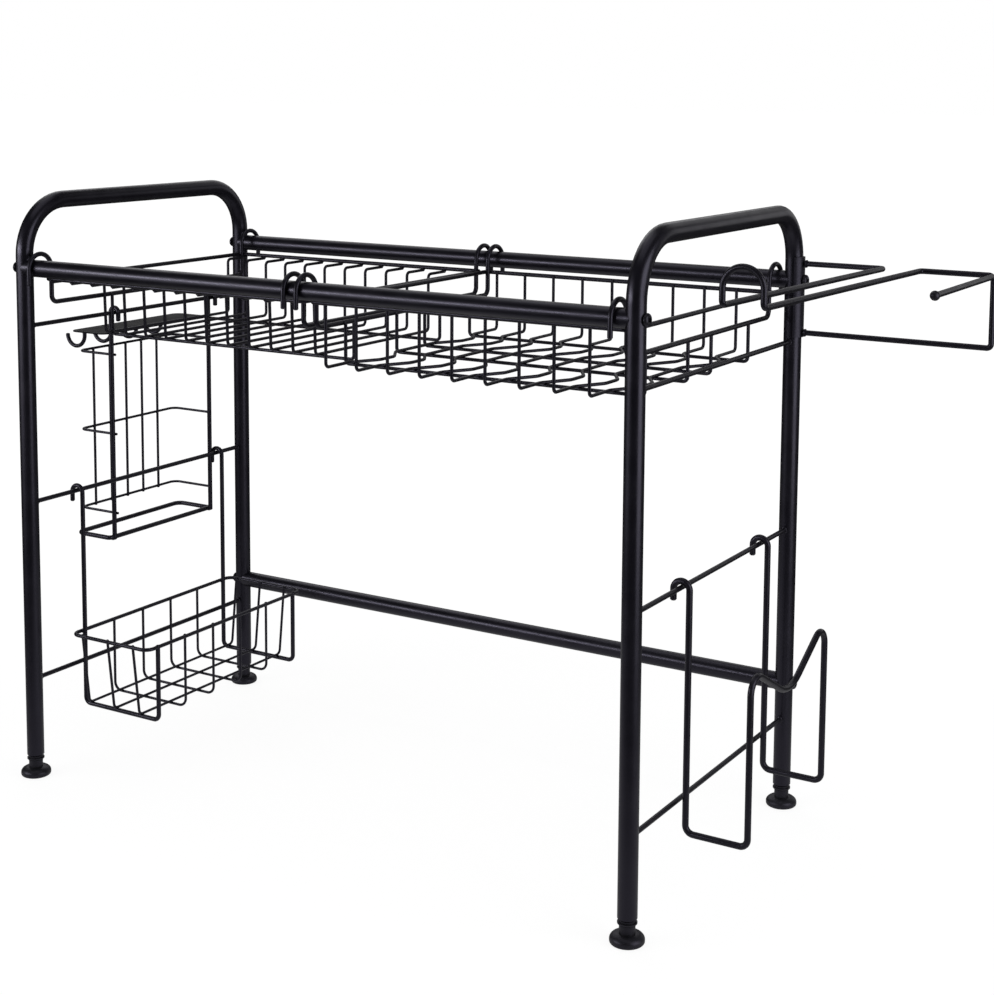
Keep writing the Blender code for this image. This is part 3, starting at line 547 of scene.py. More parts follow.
TUBE_COAT = finish_material(
    "tube_powder_coat", dark=(0.0030, 0.0027, 0.0044), light=(0.0044, 0.0040, 0.0062),
    rough=0.32, grain=1300.0, depth=0.00002, specular=0.50)
WIRE_COAT = finish_material(
    "wire_powder_coat", dark=(0.0031, 0.0029, 0.0043), light=(0.0046, 0.0042, 0.0059),
    rough=0.36, grain=1700.0, depth=0.00001, specular=0.45)
SHEET_COAT = finish_material(
    "sheet_powder_coat", dark=(0.0046, 0.0043, 0.0064), light=(0.0068, 0.0063, 0.0090),
    rough=0.38, grain=1300.0, depth=0.00002, specular=0.45, worn=(0.030, 0.029, 0.034))
HOOK_PLATE_COAT = finish_material(
    "plate_powder_coat", dark=(0.0020, 0.0018, 0.0028), light=(0.0029, 0.0027, 0.0039),
    rough=0.50, grain=1300.0, depth=0.00001, specular=0.06)
BOLT_BLACK = finish_material(
    "bolt_black", dark=(0.010, 0.010, 0.012), light=(0.016, 0.016, 0.019),
    rough=0.30, grain=2400.0, depth=0.00001, specular=0.5, metallic=0.35, worn=(0.07, 0.07, 0.075))
PLASTIC = finish_material(
    "foot_plastic", dark=(0.0050, 0.0050, 0.0058), light=(0.0075, 0.0075, 0.0085),
    rough=0.44, grain=2100.0, depth=0.00002, specular=0.42, worn=(0.020, 0.020, 0.022))
PLATED = finish_material(
    "insert_plating", dark=(0.46, 0.46, 0.47), light=(0.60, 0.60, 0.60),
    rough=0.32, grain=900.0, depth=0.00004, specular=0.5, metallic=1.0)


# Frame pieces

ARCH_Z = ARCH_TOP_Z - TUBE_RADIUS
POST_FOOT_Z = POST_END + PLUG_FLANGE + FIT_GAP
POST_SEAT = TUBE_RADIUS + FIT_GAP


def side_frame(hand, x):
    """Tube bent into an arch with two posts."""
    shape = Shape((x, 0, 0))
    front_bend, rear_bend = ARCH_BENDS[hand]
    corners = [
        ((0, -HALF_Y, POST_FOOT_Z), 0), ((0, -HALF_Y, ARCH_Z), front_bend),
        ((0, HALF_Y, ARCH_Z), rear_bend), ((0, HALF_Y, POST_FOOT_Z), 0)]
    shape.wire(corners, TUBE_RADIUS, sides=TUBE_SIDES)
    name = f"{hand}_side_frame"
    shape.piece(f"{name}_tube", "frame", [name], TUBE_COAT)


def cross_tube(name, y, z):
    """Tube between two posts, its ends cut to the posts' round."""
    shape = Shape((CENTRE_X, y, z))

    def ring(side, radius):
        points = []
        for k in range(TUBE_SIDES):
            angle = 2 * pi * k / TUBE_SIDES
            across = radius * cos(angle)
            reach = HALF_X - sqrt(POST_SEAT ** 2 - across ** 2)
            points.append(Vector((side * reach, across, radius * sin(angle))))
        return points

    bore = TUBE_RADIUS - TUBE_WALL
    shape.skin([ring(-1, TUBE_RADIUS), ring(1, TUBE_RADIUS), ring(1, bore), ring(-1, bore)], closed=True)
    shape.piece(f"{name}_tube", "frame", [name], TUBE_COAT)


def side_rod(name, x, z):
    """Rod between two posts with a ring of weld at each end."""
    shape = Shape((x, 0, z))
    half = HALF_Y - TUBE_RADIUS - FIT_GAP
    shape.wire(open_bends([(0, -half, 0), (0, half, 0)], 0), ROD_RADIUS)
    spread = ROD_RADIUS + ROD_WELD_SPREAD
    for index, side in enumerate((-1, 1)):
        shape.bead((0, side * (half - ROD_WELD_LENGTH / 2), 0), (spread, ROD_WELD_LENGTH, spread), index)
    shape.piece(f"{name}_wire", "frame", [name], WIRE_COAT)


def bolt(name, side, place, seat):
    """Button-head bolt with a hexagon socket, its shank reaching into the tube's insert."""
    top = seat + HEAD_HEIGHT
    crown = HEAD_HEIGHT - HEAD_RIM
    mouth = SOCKET_RADIUS * SOCKET_MOUTH_SHARE
    profile = [
        (SHANK_RADIUS, -SHANK_REACH), (SHANK_RADIUS, seat),
        (HEAD_RADIUS - HEAD_EDGE, seat), (HEAD_RADIUS, seat + HEAD_EDGE)]
    for i in range(DOME_STEPS + 1):
        angle = pi / 2 * i / DOME_STEPS
        profile.append((mouth + (HEAD_RADIUS - mouth) * cos(angle), seat + HEAD_RIM + crown * sin(angle)))
    rings = [circle(radius, height, BOLT_SIDES) for radius, height in profile]
    rings += [socket_ring(top), socket_ring(top - SOCKET_DEPTH)]
    outward = Matrix.Rotation(side * pi / 2, 4, "Y")
    shape = Shape(place)
    shape.skin([[outward @ point for point in ring] for ring in rings])
    shape.piece(f"{name}_head", "frame", [name], BOLT_BLACK)


def foot(corner, x, y):
    """Domed pad with a rolled edge, a narrow neck and a stem with thread ridges."""
    profile = [(AXIS_RADIUS, 0), (PAD_RADIUS - PAD_CHAMFER, 0)]
    for i in range(1, PAD_EDGE_STEPS + 1):
        angle = pi / 2 * i / PAD_EDGE_STEPS
        profile.append((
            PAD_RADIUS - PAD_CHAMFER + PAD_CHAMFER * sin(angle), PAD_CHAMFER * (1 - cos(angle))))
    for i in range(NECK_STEPS + 1):
        angle = pi / 2 * i / NECK_STEPS
        profile.append((
            NECK_RADIUS + (PAD_RADIUS - NECK_RADIUS) * cos(angle),
            PAD_EDGE_HEIGHT + (NECK_START - PAD_EDGE_HEIGHT) * sin(angle)))
    height = POST_END - FIT_GAP
    profile.append((NECK_RADIUS, height))
    thread_root = STEM_RADIUS - THREAD_DEPTH
    while height < STEM_TOP - THREAD_PITCH:
        profile.append((thread_root, height))
        profile.append((STEM_RADIUS, height + THREAD_PITCH / 2))
        height += THREAD_PITCH
    profile += [(thread_root, STEM_TOP), (AXIS_RADIUS, STEM_TOP)]
    shape = Shape((x, y, 0))
    shape.turned(profile)
    name = f"{corner}_foot"
    shape.piece(f"{name}_pad", name, [name], PLASTIC)


def leg_plug(corner, x, y):
    """Chamfered flange under the post and the bored body inside it."""
    top = POST_END + PLUG_FLANGE
    bore = STEM_RADIUS + FIT_GAP
    body = TUBE_RADIUS - TUBE_WALL - FIT_GAP
    profile = [
        (bore, POST_END), (TUBE_RADIUS - PLUG_CHAMFER, POST_END),
        (TUBE_RADIUS, POST_END + PLUG_CHAMFER), (TUBE_RADIUS, top),
        (body, top), (body, top + PLUG_LENGTH), (bore, top + PLUG_LENGTH)]
    shape = Shape((x, y, 0))
    shape.turned(profile, closed=True)
    name = f"{corner}_leg_plug"
    shape.piece(f"{name}_body", "frame", [name], PLASTIC)


# Hung baskets, built about the middle of each at rail height

RIM_TOUCH = touch(HANGER_RADIUS, RIM_RADIUS)
OUTER_X = HALF_X - TUBE_RADIUS - POST_CLEARANCE - RIM_RADIUS - RIM_TOUCH
INNER_X = BASKET_GAP / 2 + RIM_RADIUS + RIM_TOUCH
BASKET_X = (OUTER_X + INNER_X) / 2
HALF_SPAN = (OUTER_X - INNER_X) / 2
HOOK_RADIUS = TUBE_RADIUS + HOOK_PLAY + HANGER_RADIUS
HOOK_SLACK = HOOK_PLAY - FIT_GAP
HOOK_Y = HALF_Y - HOOK_SLACK * sin(HOOK_LEAN)
HOOK_TOP = HOOK_RADIUS - HOOK_SLACK * cos(HOOK_LEAN)
LEG_Y = HOOK_Y - HOOK_RADIUS
RIM_Y = LEG_Y + RIM_TOUCH


def basket_frame(shape):
    """Rim and the two hooked hangers that both baskets share."""
    x = HALF_SPAN + RIM_TOUCH
    shape.wire(rectangle((-x, x), (-RIM_Y, RIM_Y), -RIM_DROP, RIM_BEND), RIM_RADIUS, closed=True)
    tip = HOOK_Y + HOOK_RADIUS
    for side in (-HALF_SPAN, HALF_SPAN):
        half = [
            ((side, tip, -HOOK_TIP_DROP), 0), ((side, tip, HOOK_TOP), HOOK_RADIUS),
            ((side, LEG_Y, HOOK_TOP), HOOK_RADIUS), ((side, LEG_Y, -HANGER_DROP), HANGER_BEND)]
        front = [((px, -py, pz), bend) for (px, py, pz), bend in half]
        shape.wire(front + half[::-1], HANGER_RADIUS)
        for end in (-1, 1):
            spot = (side * (1 + RIM_TOUCH / HALF_SPAN / 2), end * (LEG_Y + RIM_TOUCH / 2), -RIM_DROP)
            shape.nugget(spot, RIM_RADIUS * RIM_NUGGET_SHARE, side + end)


def cross_wire(shape, y, floor):
    """Wire under the floor wires, turned up at both ends to the hangers."""
    x = HALF_SPAN - touch(HANGER_RADIUS, CROSS_RADIUS)
    z = floor - touch(GRID_RADIUS, CROSS_RADIUS)
    places = [(-x, y, -HANGER_DROP), (-x, y, z), (x, y, z), (x, y, -HANGER_DROP)]
    shape.wire(open_bends(places, GRID_BEND), CROSS_RADIUS, sides=THIN_SIDES)
    for side in (-x, x):
        spot = (side * (1 + GRID_RADIUS / x), y, -HANGER_DROP)
        shape.nugget(spot, CROSS_RADIUS * CROSS_NUGGET_SHARE, y)


def plate_basket():
    """Basket whose wires run from a front ledge down through a trough to a rear ledge."""
    shape = Shape((CENTRE_X - BASKET_X, 0, RAIL_Z))
    basket_frame(shape)
    top = -RIM_DROP - touch(RIM_RADIUS, GRID_RADIUS)
    floor = -RIM_DROP - PLATE_DEPTH
    front = -RIM_Y + PLATE_LEDGE
    rear = RIM_Y - PLATE_REAR_LEDGE
    pitch = (2 * HALF_SPAN - PLATE_FIRST_INSET - PLATE_LAST_INSET) / (PLATE_WIRES - 1)
    xs = [-HALF_SPAN + PLATE_FIRST_INSET + i * pitch for i in range(PLATE_WIRES)]
    for x in xs:
        places = [
            (x, -RIM_Y, top), (x, front, top), (x, front + PLATE_LEAN, floor),
            (x, rear, floor), (x, rear, top), (x, RIM_Y, top)]
        shape.wire(open_bends(places, GRID_BEND), GRID_RADIUS, sides=THIN_SIDES)
        for side in (-RIM_Y, RIM_Y):
            shape.nugget((x, side, (top - RIM_DROP) / 2), GRID_RADIUS * GRID_NUGGET_SHARE, x + side)
    ys = (front + PLATE_LEAN + PLATE_CROSS_INSETS[0], rear - PLATE_CROSS_INSETS[1])
    for y in ys:
        cross_wire(shape, y, floor)
    weld_z = floor - touch(GRID_RADIUS, CROSS_RADIUS) / 2
    for x in xs:
        for y in ys:
            shape.nugget((x, y, weld_z), GRID_RADIUS * PLATE_NUGGET_SHARE, x + y)
    shape.piece("plate_basket_wires", "plate_basket", ["plate_basket"], WIRE_COAT)


def bowl_basket():
    """Basket whose floor wires each go round two waves, with four cross wires under them."""
    shape = Shape((CENTRE_X + BASKET_X, 0, RAIL_Z))
    basket_frame(shape)
    y_side = RIM_Y - touch(RIM_RADIUS, GRID_RADIUS)
    floor = -RIM_DROP - BOWL_DEPTH
    pitch = (2 * HALF_SPAN - BOWL_FIRST_INSET) / BOWL_WIRES
    for i in range(BOWL_WIRES):
        x = -HALF_SPAN + BOWL_FIRST_INSET + i * pitch
        corners = [((x, -y_side, -RIM_DROP), 0), ((x, -y_side, floor), GRID_BEND)]
        for start, end in BOWL_WAVE_SHARES:
            near, far = (start + (end - start) * share for share in BOWL_SHOULDER_SHARES)
            outline = ((start, 0), (near, BOWL_WAVE), (far, BOWL_WAVE), (end, 0))
            corners += [((x + wave, share * RIM_Y, floor), BOWL_WAVE_BEND) for share, wave in outline]
        corners += [((x, y_side, floor), GRID_BEND), ((x, y_side, -RIM_DROP), 0)]
        shape.wire(corners, GRID_RADIUS, sides=THIN_SIDES)
        for side in (-1, 1):
            spot = (x, side * (y_side + RIM_Y) / 2, -RIM_DROP)
            shape.nugget(spot, GRID_RADIUS * GRID_NUGGET_SHARE, x + side)
    for share in BOWL_CROSS_SHARES:
        cross_wire(shape, share * RIM_Y, floor)
    shape.piece("bowl_basket_wires", "bowl_basket", ["bowl_basket"], WIRE_COAT)


# Holders on the side rods, built about a place on the rod's axis

def rod_hook_radius(radius, play):
    """Bend radius of a hook's centre line round a side rod."""
    return ROD_RADIUS + play + radius


def rod_hook(side, y, radius, play, tip_drop):
    """Corners of a hook over a rod, from its tip; the leg goes down on the given side."""
    bend = rod_hook_radius(radius, play)
    x = side * bend
    top = bend - (play - FIT_GAP)
    return [((-x, y, -tip_drop), 0), ((-x, y, top), bend), ((x, y, top), bend)]


UTENSIL_HALF = UTENSIL_WIDTH / 2
UTENSIL_LEG_X = rod_hook_radius(UTENSIL_LEG_RADIUS, UTENSIL_HOOK_PLAY)


def utensil_legs(shape):
    """The two hooked legs."""
    for y in (-UTENSIL_HALF, UTENSIL_HALF):
        hook = rod_hook(-1, y, UTENSIL_LEG_RADIUS, UTENSIL_HOOK_PLAY, UTENSIL_TIP_DROP)
        end = ((-UTENSIL_LEG_X, y, -UTENSIL_DROP - UTENSIL_LEG_TAIL), 0)
        shape.wire(hook + [end], UTENSIL_LEG_RADIUS)


def utensil_base(shape):
    """Loop of thick wire at the foot of the legs."""
    near = -UTENSIL_LEG_X - touch(UTENSIL_LEG_RADIUS, UTENSIL_LEG_RADIUS)
    y = UTENSIL_HALF + UTENSIL_BASE_OVERHANG
    base = [
        ((near, -y, -UTENSIL_DROP), UTENSIL_BASE_NEAR_BEND),
        ((near, y, -UTENSIL_DROP), UTENSIL_BASE_NEAR_BEND),
        ((-UTENSIL_REACH, y, -UTENSIL_DROP), UTENSIL_RING_BEND),
        ((-UTENSIL_REACH, -y, -UTENSIL_DROP), UTENSIL_RING_BEND)]
    shape.wire(base, UTENSIL_LEG_RADIUS, closed=True)
    for side in (-UTENSIL_HALF, UTENSIL_HALF):
        spot = ((near - UTENSIL_LEG_X) / 2, side, -UTENSIL_DROP)
        shape.nugget(spot, UTENSIL_LEG_RADIUS * UTENSIL_BASE_NUGGET_SHARE, side)


def utensil_rings(shape):
    """Thin wires round the outer side and both ends, open towards the rod."""
    y = UTENSIL_HALF - touch(UTENSIL_LEG_RADIUS, UTENSIL_THIN_RADIUS)
    tail = -UTENSIL_LEG_X + UTENSIL_RING_TAIL
    for drop in UTENSIL_RING_DROPS:
        places = [
            (tail, -y, -drop), (-UTENSIL_REACH, -y, -drop),
            (-UTENSIL_REACH, y, -drop), (tail, y, -drop)]
        shape.wire(open_bends(places, UTENSIL_RING_BEND), UTENSIL_THIN_RADIUS, sides=THIN_SIDES)
        for side in (-1, 1):
            spot = (-UTENSIL_LEG_X, side * (y + UTENSIL_THIN_RADIUS), -drop)
            shape.nugget(spot, UTENSIL_THIN_RADIUS * UTENSIL_RING_NUGGET_SHARE, drop + side)


def utensil_uprights(shape):
    """Thin wires down the outer side, inside the rings."""
    x = -UTENSIL_REACH + touch(UTENSIL_THIN_RADIUS, UTENSIL_THIN_RADIUS)
    top = -UTENSIL_RING_DROPS[0] + UTENSIL_LEG_TAIL
    bottom = -UTENSIL_RING_DROPS[-1] - UTENSIL_LEG_TAIL
    for i in range(UPRIGHTS):
        y = UPRIGHT_SHIFT + (i - (UPRIGHTS - 1) / 2) * UPRIGHT_PITCH
        shape.wire(open_bends([(x, y, top), (x, y, bottom)], 0), UTENSIL_THIN_RADIUS, sides=THIN_SIDES)
        for drop in UTENSIL_RING_DROPS:
            spot = (x - UTENSIL_THIN_RADIUS, y, -drop)
            shape.nugget(spot, UTENSIL_THIN_RADIUS * UPRIGHT_NUGGET_SHARE, y + drop)


def utensil_holder():
    """Holder on the left upper rod, outside the frame."""
    shape = Shape((LEFT_X, UTENSIL_PLACE, middle("left_upper_rod").z))
    utensil_legs(shape)
    utensil_base(shape)
    utensil_rings(shape)
    utensil_uprights(shape)
    shape.piece("utensil_holder_wires", "utensil_holder", ["utensil_holder"], WIRE_COAT)


def hook_plate():
    """Flat plate with round corners and softened edges."""
    low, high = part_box("hook_plate")
    levels = (
        (HOOK_PLATE_EDGE, low.z), (0, low.z + HOOK_PLATE_EDGE),
        (0, high.z - HOOK_PLATE_EDGE), (HOOK_PLATE_EDGE, high.z))
    rings = []
    for inset, z in levels:
        x_span = (low.x + inset, high.x - inset)
        y_span = (low.y + inset, high.y - inset)
        rings.append(bent_path(rectangle(x_span, y_span, z, HOOK_PLATE_CORNER - inset), closed=True))
    shape = Shape()
    shape.skin(rings)
    shape.piece("hook_plate_sheet", "utensil_holder", ["hook_plate"], HOOK_PLATE_COAT)


def j_hook(number):
    """Hook under the plate, with a small weld where it meets the plate."""
    name = f"plate_hook_{number}"
    low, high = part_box(name)
    shape = Shape((high.x - J_HOOK_RADIUS, (low.y + high.y) / 2, high.z))
    bottom = -J_HOOK_SHANK - J_HOOK_BEND
    far = -2 * J_HOOK_BEND
    places = [(0, 0, 0), (0, 0, bottom), (far, 0, bottom), (far, 0, bottom + J_HOOK_BEND + J_HOOK_TIP)]
    shape.wire(open_bends(places, J_HOOK_BEND), J_HOOK_RADIUS)
    spread = J_HOOK_RADIUS * J_HOOK_WELD_SHARE
    shape.bead((0, 0, -J_HOOK_RADIUS / 2), (spread, spread, J_HOOK_RADIUS / 2), number)
    shape.piece(f"{name}_wire", "utensil_holder", [name], WIRE_COAT)


SPONGE_HALF = SPONGE_HANGER_SPACING / 2
SPONGE_LEG_X = rod_hook_radius(SPONGE_LEG_RADIUS, SPONGE_HOOK_PLAY)
SPONGE_RIM_X = SPONGE_LEG_X - touch(SPONGE_LEG_RADIUS, SPONGE_RIM_RADIUS)
SPONGE_RIM_Y = SPONGE_HALF + SPONGE_RIM_OVERHANG
SPONGE_THIN_INSET = touch(SPONGE_RIM_RADIUS, SPONGE_THIN_RADIUS)
SPONGE_LONG_Z = -SPONGE_DROP + touch(SPONGE_LEG_RADIUS, SPONGE_THIN_RADIUS)
SPONGE_CROSS_Z = SPONGE_LONG_Z - touch(SPONGE_THIN_RADIUS, SPONGE_THIN_RADIUS)
SPONGE_LONG_XS = [SPONGE_LONG_FIRST + i * SPONGE_LONG_PITCH for i in range(SPONGE_LONG_WIRES)]


def sponge_legs(shape):
    """The two hooked legs, each bent on under the basket and up to its rim."""
    for y in (-SPONGE_HALF, SPONGE_HALF):
        hook = rod_hook(1, y, SPONGE_LEG_RADIUS, SPONGE_HOOK_PLAY, SPONGE_TIP_DROP)
        tray = [
            ((SPONGE_LEG_X, y, -SPONGE_DROP), SPONGE_LEG_BEND),
            ((SPONGE_REACH, y, -SPONGE_DROP), SPONGE_LEG_BEND),
            ((SPONGE_REACH, y, -SPONGE_RIM_DROP), 0)]
        shape.wire(hook + tray, SPONGE_LEG_RADIUS)
        for x in ((SPONGE_LEG_X + SPONGE_RIM_X) / 2, SPONGE_REACH):
            shape.nugget((x, y, -SPONGE_RIM_DROP), SPONGE_LEG_RADIUS * SPONGE_LEG_NUGGET_SHARE, x + y)


def sponge_cross_wires(shape):
    """Thin wires across the basket, welded under the long ones."""
    near = SPONGE_RIM_X + SPONGE_THIN_INSET
    far = SPONGE_REACH - SPONGE_THIN_INSET
    for i in range(SPONGE_CROSS_WIRES):
        y = (i - (SPONGE_CROSS_WIRES - 1) / 2) * SPONGE_CROSS_PITCH
        places = [
            (near, y, -SPONGE_RIM_DROP), (near, y, SPONGE_CROSS_Z),
            (far, y, SPONGE_CROSS_Z), (far, y, -SPONGE_RIM_DROP)]
        shape.wire(open_bends(places, SPONGE_CROSS_BEND), SPONGE_THIN_RADIUS, sides=THIN_SIDES)
        for x in (near, far):
            shape.nugget((x, y, -SPONGE_RIM_DROP), SPONGE_THIN_RADIUS * SPONGE_RIM_NUGGET_SHARE, x + y)
        for x in SPONGE_LONG_XS:
            spot = (x, y, (SPONGE_CROSS_Z + SPONGE_LONG_Z) / 2)
            shape.nugget(spot, SPONGE_THIN_RADIUS * SPONGE_FLOOR_NUGGET_SHARE, x + y)


def sponge_long_wires(shape):
    """Thin wires along the basket, leaning out to the ends of the rim."""
    top_y = SPONGE_RIM_Y - SPONGE_THIN_INSET
    low_y = SPONGE_HALF + SPONGE_LONG_OVERHANG
    for x in SPONGE_LONG_XS:
        places = [
            (x, -top_y, -SPONGE_RIM_DROP), (x, -low_y, SPONGE_LONG_Z),
            (x, low_y, SPONGE_LONG_Z), (x, top_y, -SPONGE_RIM_DROP)]
        shape.wire(open_bends(places, SPONGE_LONG_BEND), SPONGE_THIN_RADIUS, sides=THIN_SIDES)
        for y in (-top_y, top_y):
            shape.nugget((x, y, -SPONGE_RIM_DROP), SPONGE_THIN_RADIUS * SPONGE_RIM_NUGGET_SHARE, x + y)


def sponge_basket():
    """Basket on the left middle rod, inside the frame."""
    shape = Shape((LEFT_X, SPONGE_PLACE, middle("left_middle_rod").z))
    sponge_legs(shape)
    rim = rectangle(
        (SPONGE_RIM_X, SPONGE_REACH), (-SPONGE_RIM_Y, SPONGE_RIM_Y), -SPONGE_RIM_DROP, SPONGE_RIM_BEND)
    shape.wire(rim, SPONGE_RIM_RADIUS, closed=True)
    sponge_cross_wires(shape)
    sponge_long_wires(shape)
    shape.piece("sponge_basket_wires", "sponge_basket", ["sponge_basket"], WIRE_COAT)


def board_rack():
    """One bent wire on the right middle rod, outside the frame."""
    shape = Shape((RIGHT_X, BOARD_PLACE, middle("right_middle_rod").z))
    leg_x = rod_hook_radius(BOARD_RADIUS, BOARD_HOOK_PLAY)
    half = BOARD_WIDTH / 2
    front = rod_hook(1, -half, BOARD_RADIUS, BOARD_HOOK_PLAY, BOARD_TIP_DROP) + [
        ((leg_x, -half, -BOARD_DROP), BOARD_BEND), ((BOARD_REACH, -half, -BOARD_DROP), BOARD_BEND),
        ((BOARD_REACH, -half, -BOARD_TOP_DROP), BOARD_TOP_BEND)]
    rear = [((x, -y, z), bend) for (x, y, z), bend in front[::-1]]
    dip = [((BOARD_REACH, 0, -BOARD_DIP_DROP), BOARD_DIP_BEND)]
    shape.wire(front + dip + rear, BOARD_RADIUS)
    shape.piece("board_rack_wire", "board_rack", ["board_rack"], WIRE_COAT)


# Roll and glass holder, built about the rear right post's axis at rail height

HOLDER_PLACE = (RIGHT_X, HALF_Y, RAIL_Z)


def holder_sleeve():
    """Plate bent round the outer side of the post."""
    shape = Shape(HOLDER_PLACE)
    inner = POST_SEAT
    outer = inner + SLEEVE_WALL
    bottom = Vector((0, 0, -SLEEVE_BELOW))
    top = Vector((0, 0, SLEEVE_ABOVE))
    rings = []
    for i in range(SLEEVE_STEPS + 1):
        angle = -SLEEVE_HALF_ANGLE + 2 * SLEEVE_HALF_ANGLE * i / SLEEVE_STEPS
        out = Vector((cos(angle), sin(angle), 0))
        rings.append([out * inner + bottom, out * outer + bottom, out * outer + top, out * inner + top])
    shape.skin(rings)
    shape.piece("holder_sleeve_sheet", "frame", ["holder_sleeve"], SHEET_COAT)


def roll_and_glass_holder():
    """Bent wire from the sleeve and back, with a glass slot, and the roll rod on its upper outer bend."""
    shape = Shape(HOLDER_PLACE)
    start = TUBE_RADIUS + SLEEVE_WALL + 2 * FIT_GAP
    high = HOLDER_RISE
    low = -HOLDER_DROP
    left = SLOT_START
    right = SLOT_START + SLOT_WIDTH
    hoop = high + HOOP_RISE
    front = -HOLDER_DEPTH
    corners = [
        ((start, 0, high), 0), ((left, 0, high), HOLDER_BEND),
        ((left - SLOT_LEAN, front, high), HOLDER_BEND),
        ((left - SLOT_LEAN, front, hoop), SLOT_WIDTH / 2),
        ((right - SLOT_LEAN, front, hoop), SLOT_WIDTH / 2),
        ((right - SLOT_LEAN, front, high), HOLDER_BEND),
        ((right, 0, high), HOLDER_BEND), ((HOLDER_REACH, 0, high), HOLDER_BEND),
        ((HOLDER_REACH, 0, low), HOLDER_BEND), ((start, 0, low), 0)]
    shape.wire(corners, HOLDER_RADIUS)
    rod_x = HOLDER_REACH - ROLL_ROD_INSET
    rod_z = high - ROLL_ROD_INSET
    shape.wire(open_bends([(rod_x, 0, rod_z), (rod_x, -ROLL_ROD_LENGTH, rod_z)], 0), HOLDER_RADIUS)
    depth = HOLDER_RADIUS * HOLDER_WELD_DEPTH_SHARE
    width = HOLDER_RADIUS * HOLDER_WELD_WIDTH_SHARE
    for seed, z in enumerate((high, low)):
        shape.bead((start + depth, 0, z), (depth, width, width * HOLDER_WELD_HEIGHT_SHARE), seed)
    shape.piece("roll_and_glass_wire", "frame", ["roll_and_glass_holder"], WIRE_COAT)


def rod_ball():
    """Ball on the end of the roll rod."""
    profile = []
    for i in range(1, BALL_STEPS):
        angle = pi * i / BALL_STEPS
        profile.append((BALL_RADIUS * sin(angle), -BALL_RADIUS * cos(angle)))
    centre = middle("rod_ball")
    shape = Shape((centre.x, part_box("rod_ball")[0].y + BALL_RADIUS, centre.z))
    shape.turned(profile, Matrix.Rotation(-pi / 2, 4, "X"))
    shape.piece("rod_ball_knob", "frame", ["rod_ball"], PLASTIC)


# Stage

WHITE = (1, 1, 1, 1)
FLOOR_HALF = 30.0
FLOOR_BELOW = 0.0002
FLOOR_COLOUR = (0.86, 0.86, 0.86, 1)
FLOOR_PATCH = (0.50, 0.35, 1.0)
FLOOR_FADE = (1.0, 2.6)
SEEN_SHARES = (0.86, 1.0)
SEEN_STRENGTH = 1.04
# Painted light: in reflections the floor glows brighter near the rack and fades far out, in place of lamp
# light pooling on it.
PAINTED_GLOW_FADE = (0.8, 2.0)
PAINTED_FLOOR_GLOW = (0.45, 0.05)
MIRRORED_WORLD = 0.035
WORLD_STRENGTH = 0.50


def floor_material():
    """Pale paint that the camera sees nearly white, with the shadow near the rack, and mirrored as a dim
    painted glow, brighter near the rack.
    """
    material = bpy.data.materials.new("pale_floor")
    material.use_nodes = True
    tree = material.node_tree
    tree.nodes.remove(tree.nodes["Principled BSDF"])
    rays = node(tree, "ShaderNodeLightPath")
    place = node(tree, "ShaderNodeTexCoord").outputs["Object"]
    spread = node(tree, "ShaderNodeVectorMath", {0: place, 1: FLOOR_PATCH}, operation="DIVIDE")
    far = node(tree, "ShaderNodeVectorMath", {0: spread.outputs["Vector"]}, operation="LENGTH")

    def fade(reach, near_value, far_value):
        ramp = node(tree, "ShaderNodeMapRange", {
            "Value": far.outputs["Value"], "From Min": reach[0], "From Max": reach[1],
            "To Min": near_value, "To Max": far_value}, interpolation_type="SMOOTHSTEP")
        return ramp.outputs["Result"]

    paint = node(tree, "ShaderNodeBsdfDiffuse", {"Color": FLOOR_COLOUR})
    white = node(tree, "ShaderNodeEmission", {"Color": WHITE, "Strength": SEEN_STRENGTH})
    # Painted glow, seen only in reflections: brighter near the rack, dim far out.
    mirrored = node(tree, "ShaderNodeEmission", {
        "Color": WHITE, "Strength": fade(PAINTED_GLOW_FADE, *PAINTED_FLOOR_GLOW)})
    seen = node(tree, "ShaderNodeMath", {
        0: rays.outputs["Is Camera Ray"], 1: fade(FLOOR_FADE, *SEEN_SHARES)}, operation="MULTIPLY")
    clear = node(tree, "ShaderNodeMath", {
        0: seen.outputs[0], 1: rays.outputs["Is Transmission Ray"]}, operation="MAXIMUM")
    lit = node(tree, "ShaderNodeMixShader", {
        0: clear.outputs[0], 1: paint.outputs[0], 2: white.outputs[0]})
    mix = node(tree, "ShaderNodeMixShader", {
        0: rays.outputs["Is Glossy Ray"], 1: lit.outputs[0], 2: mirrored.outputs[0]})
    tree.links.new(mix.outputs[0], tree.nodes["Material Output"].inputs["Surface"])
    return material


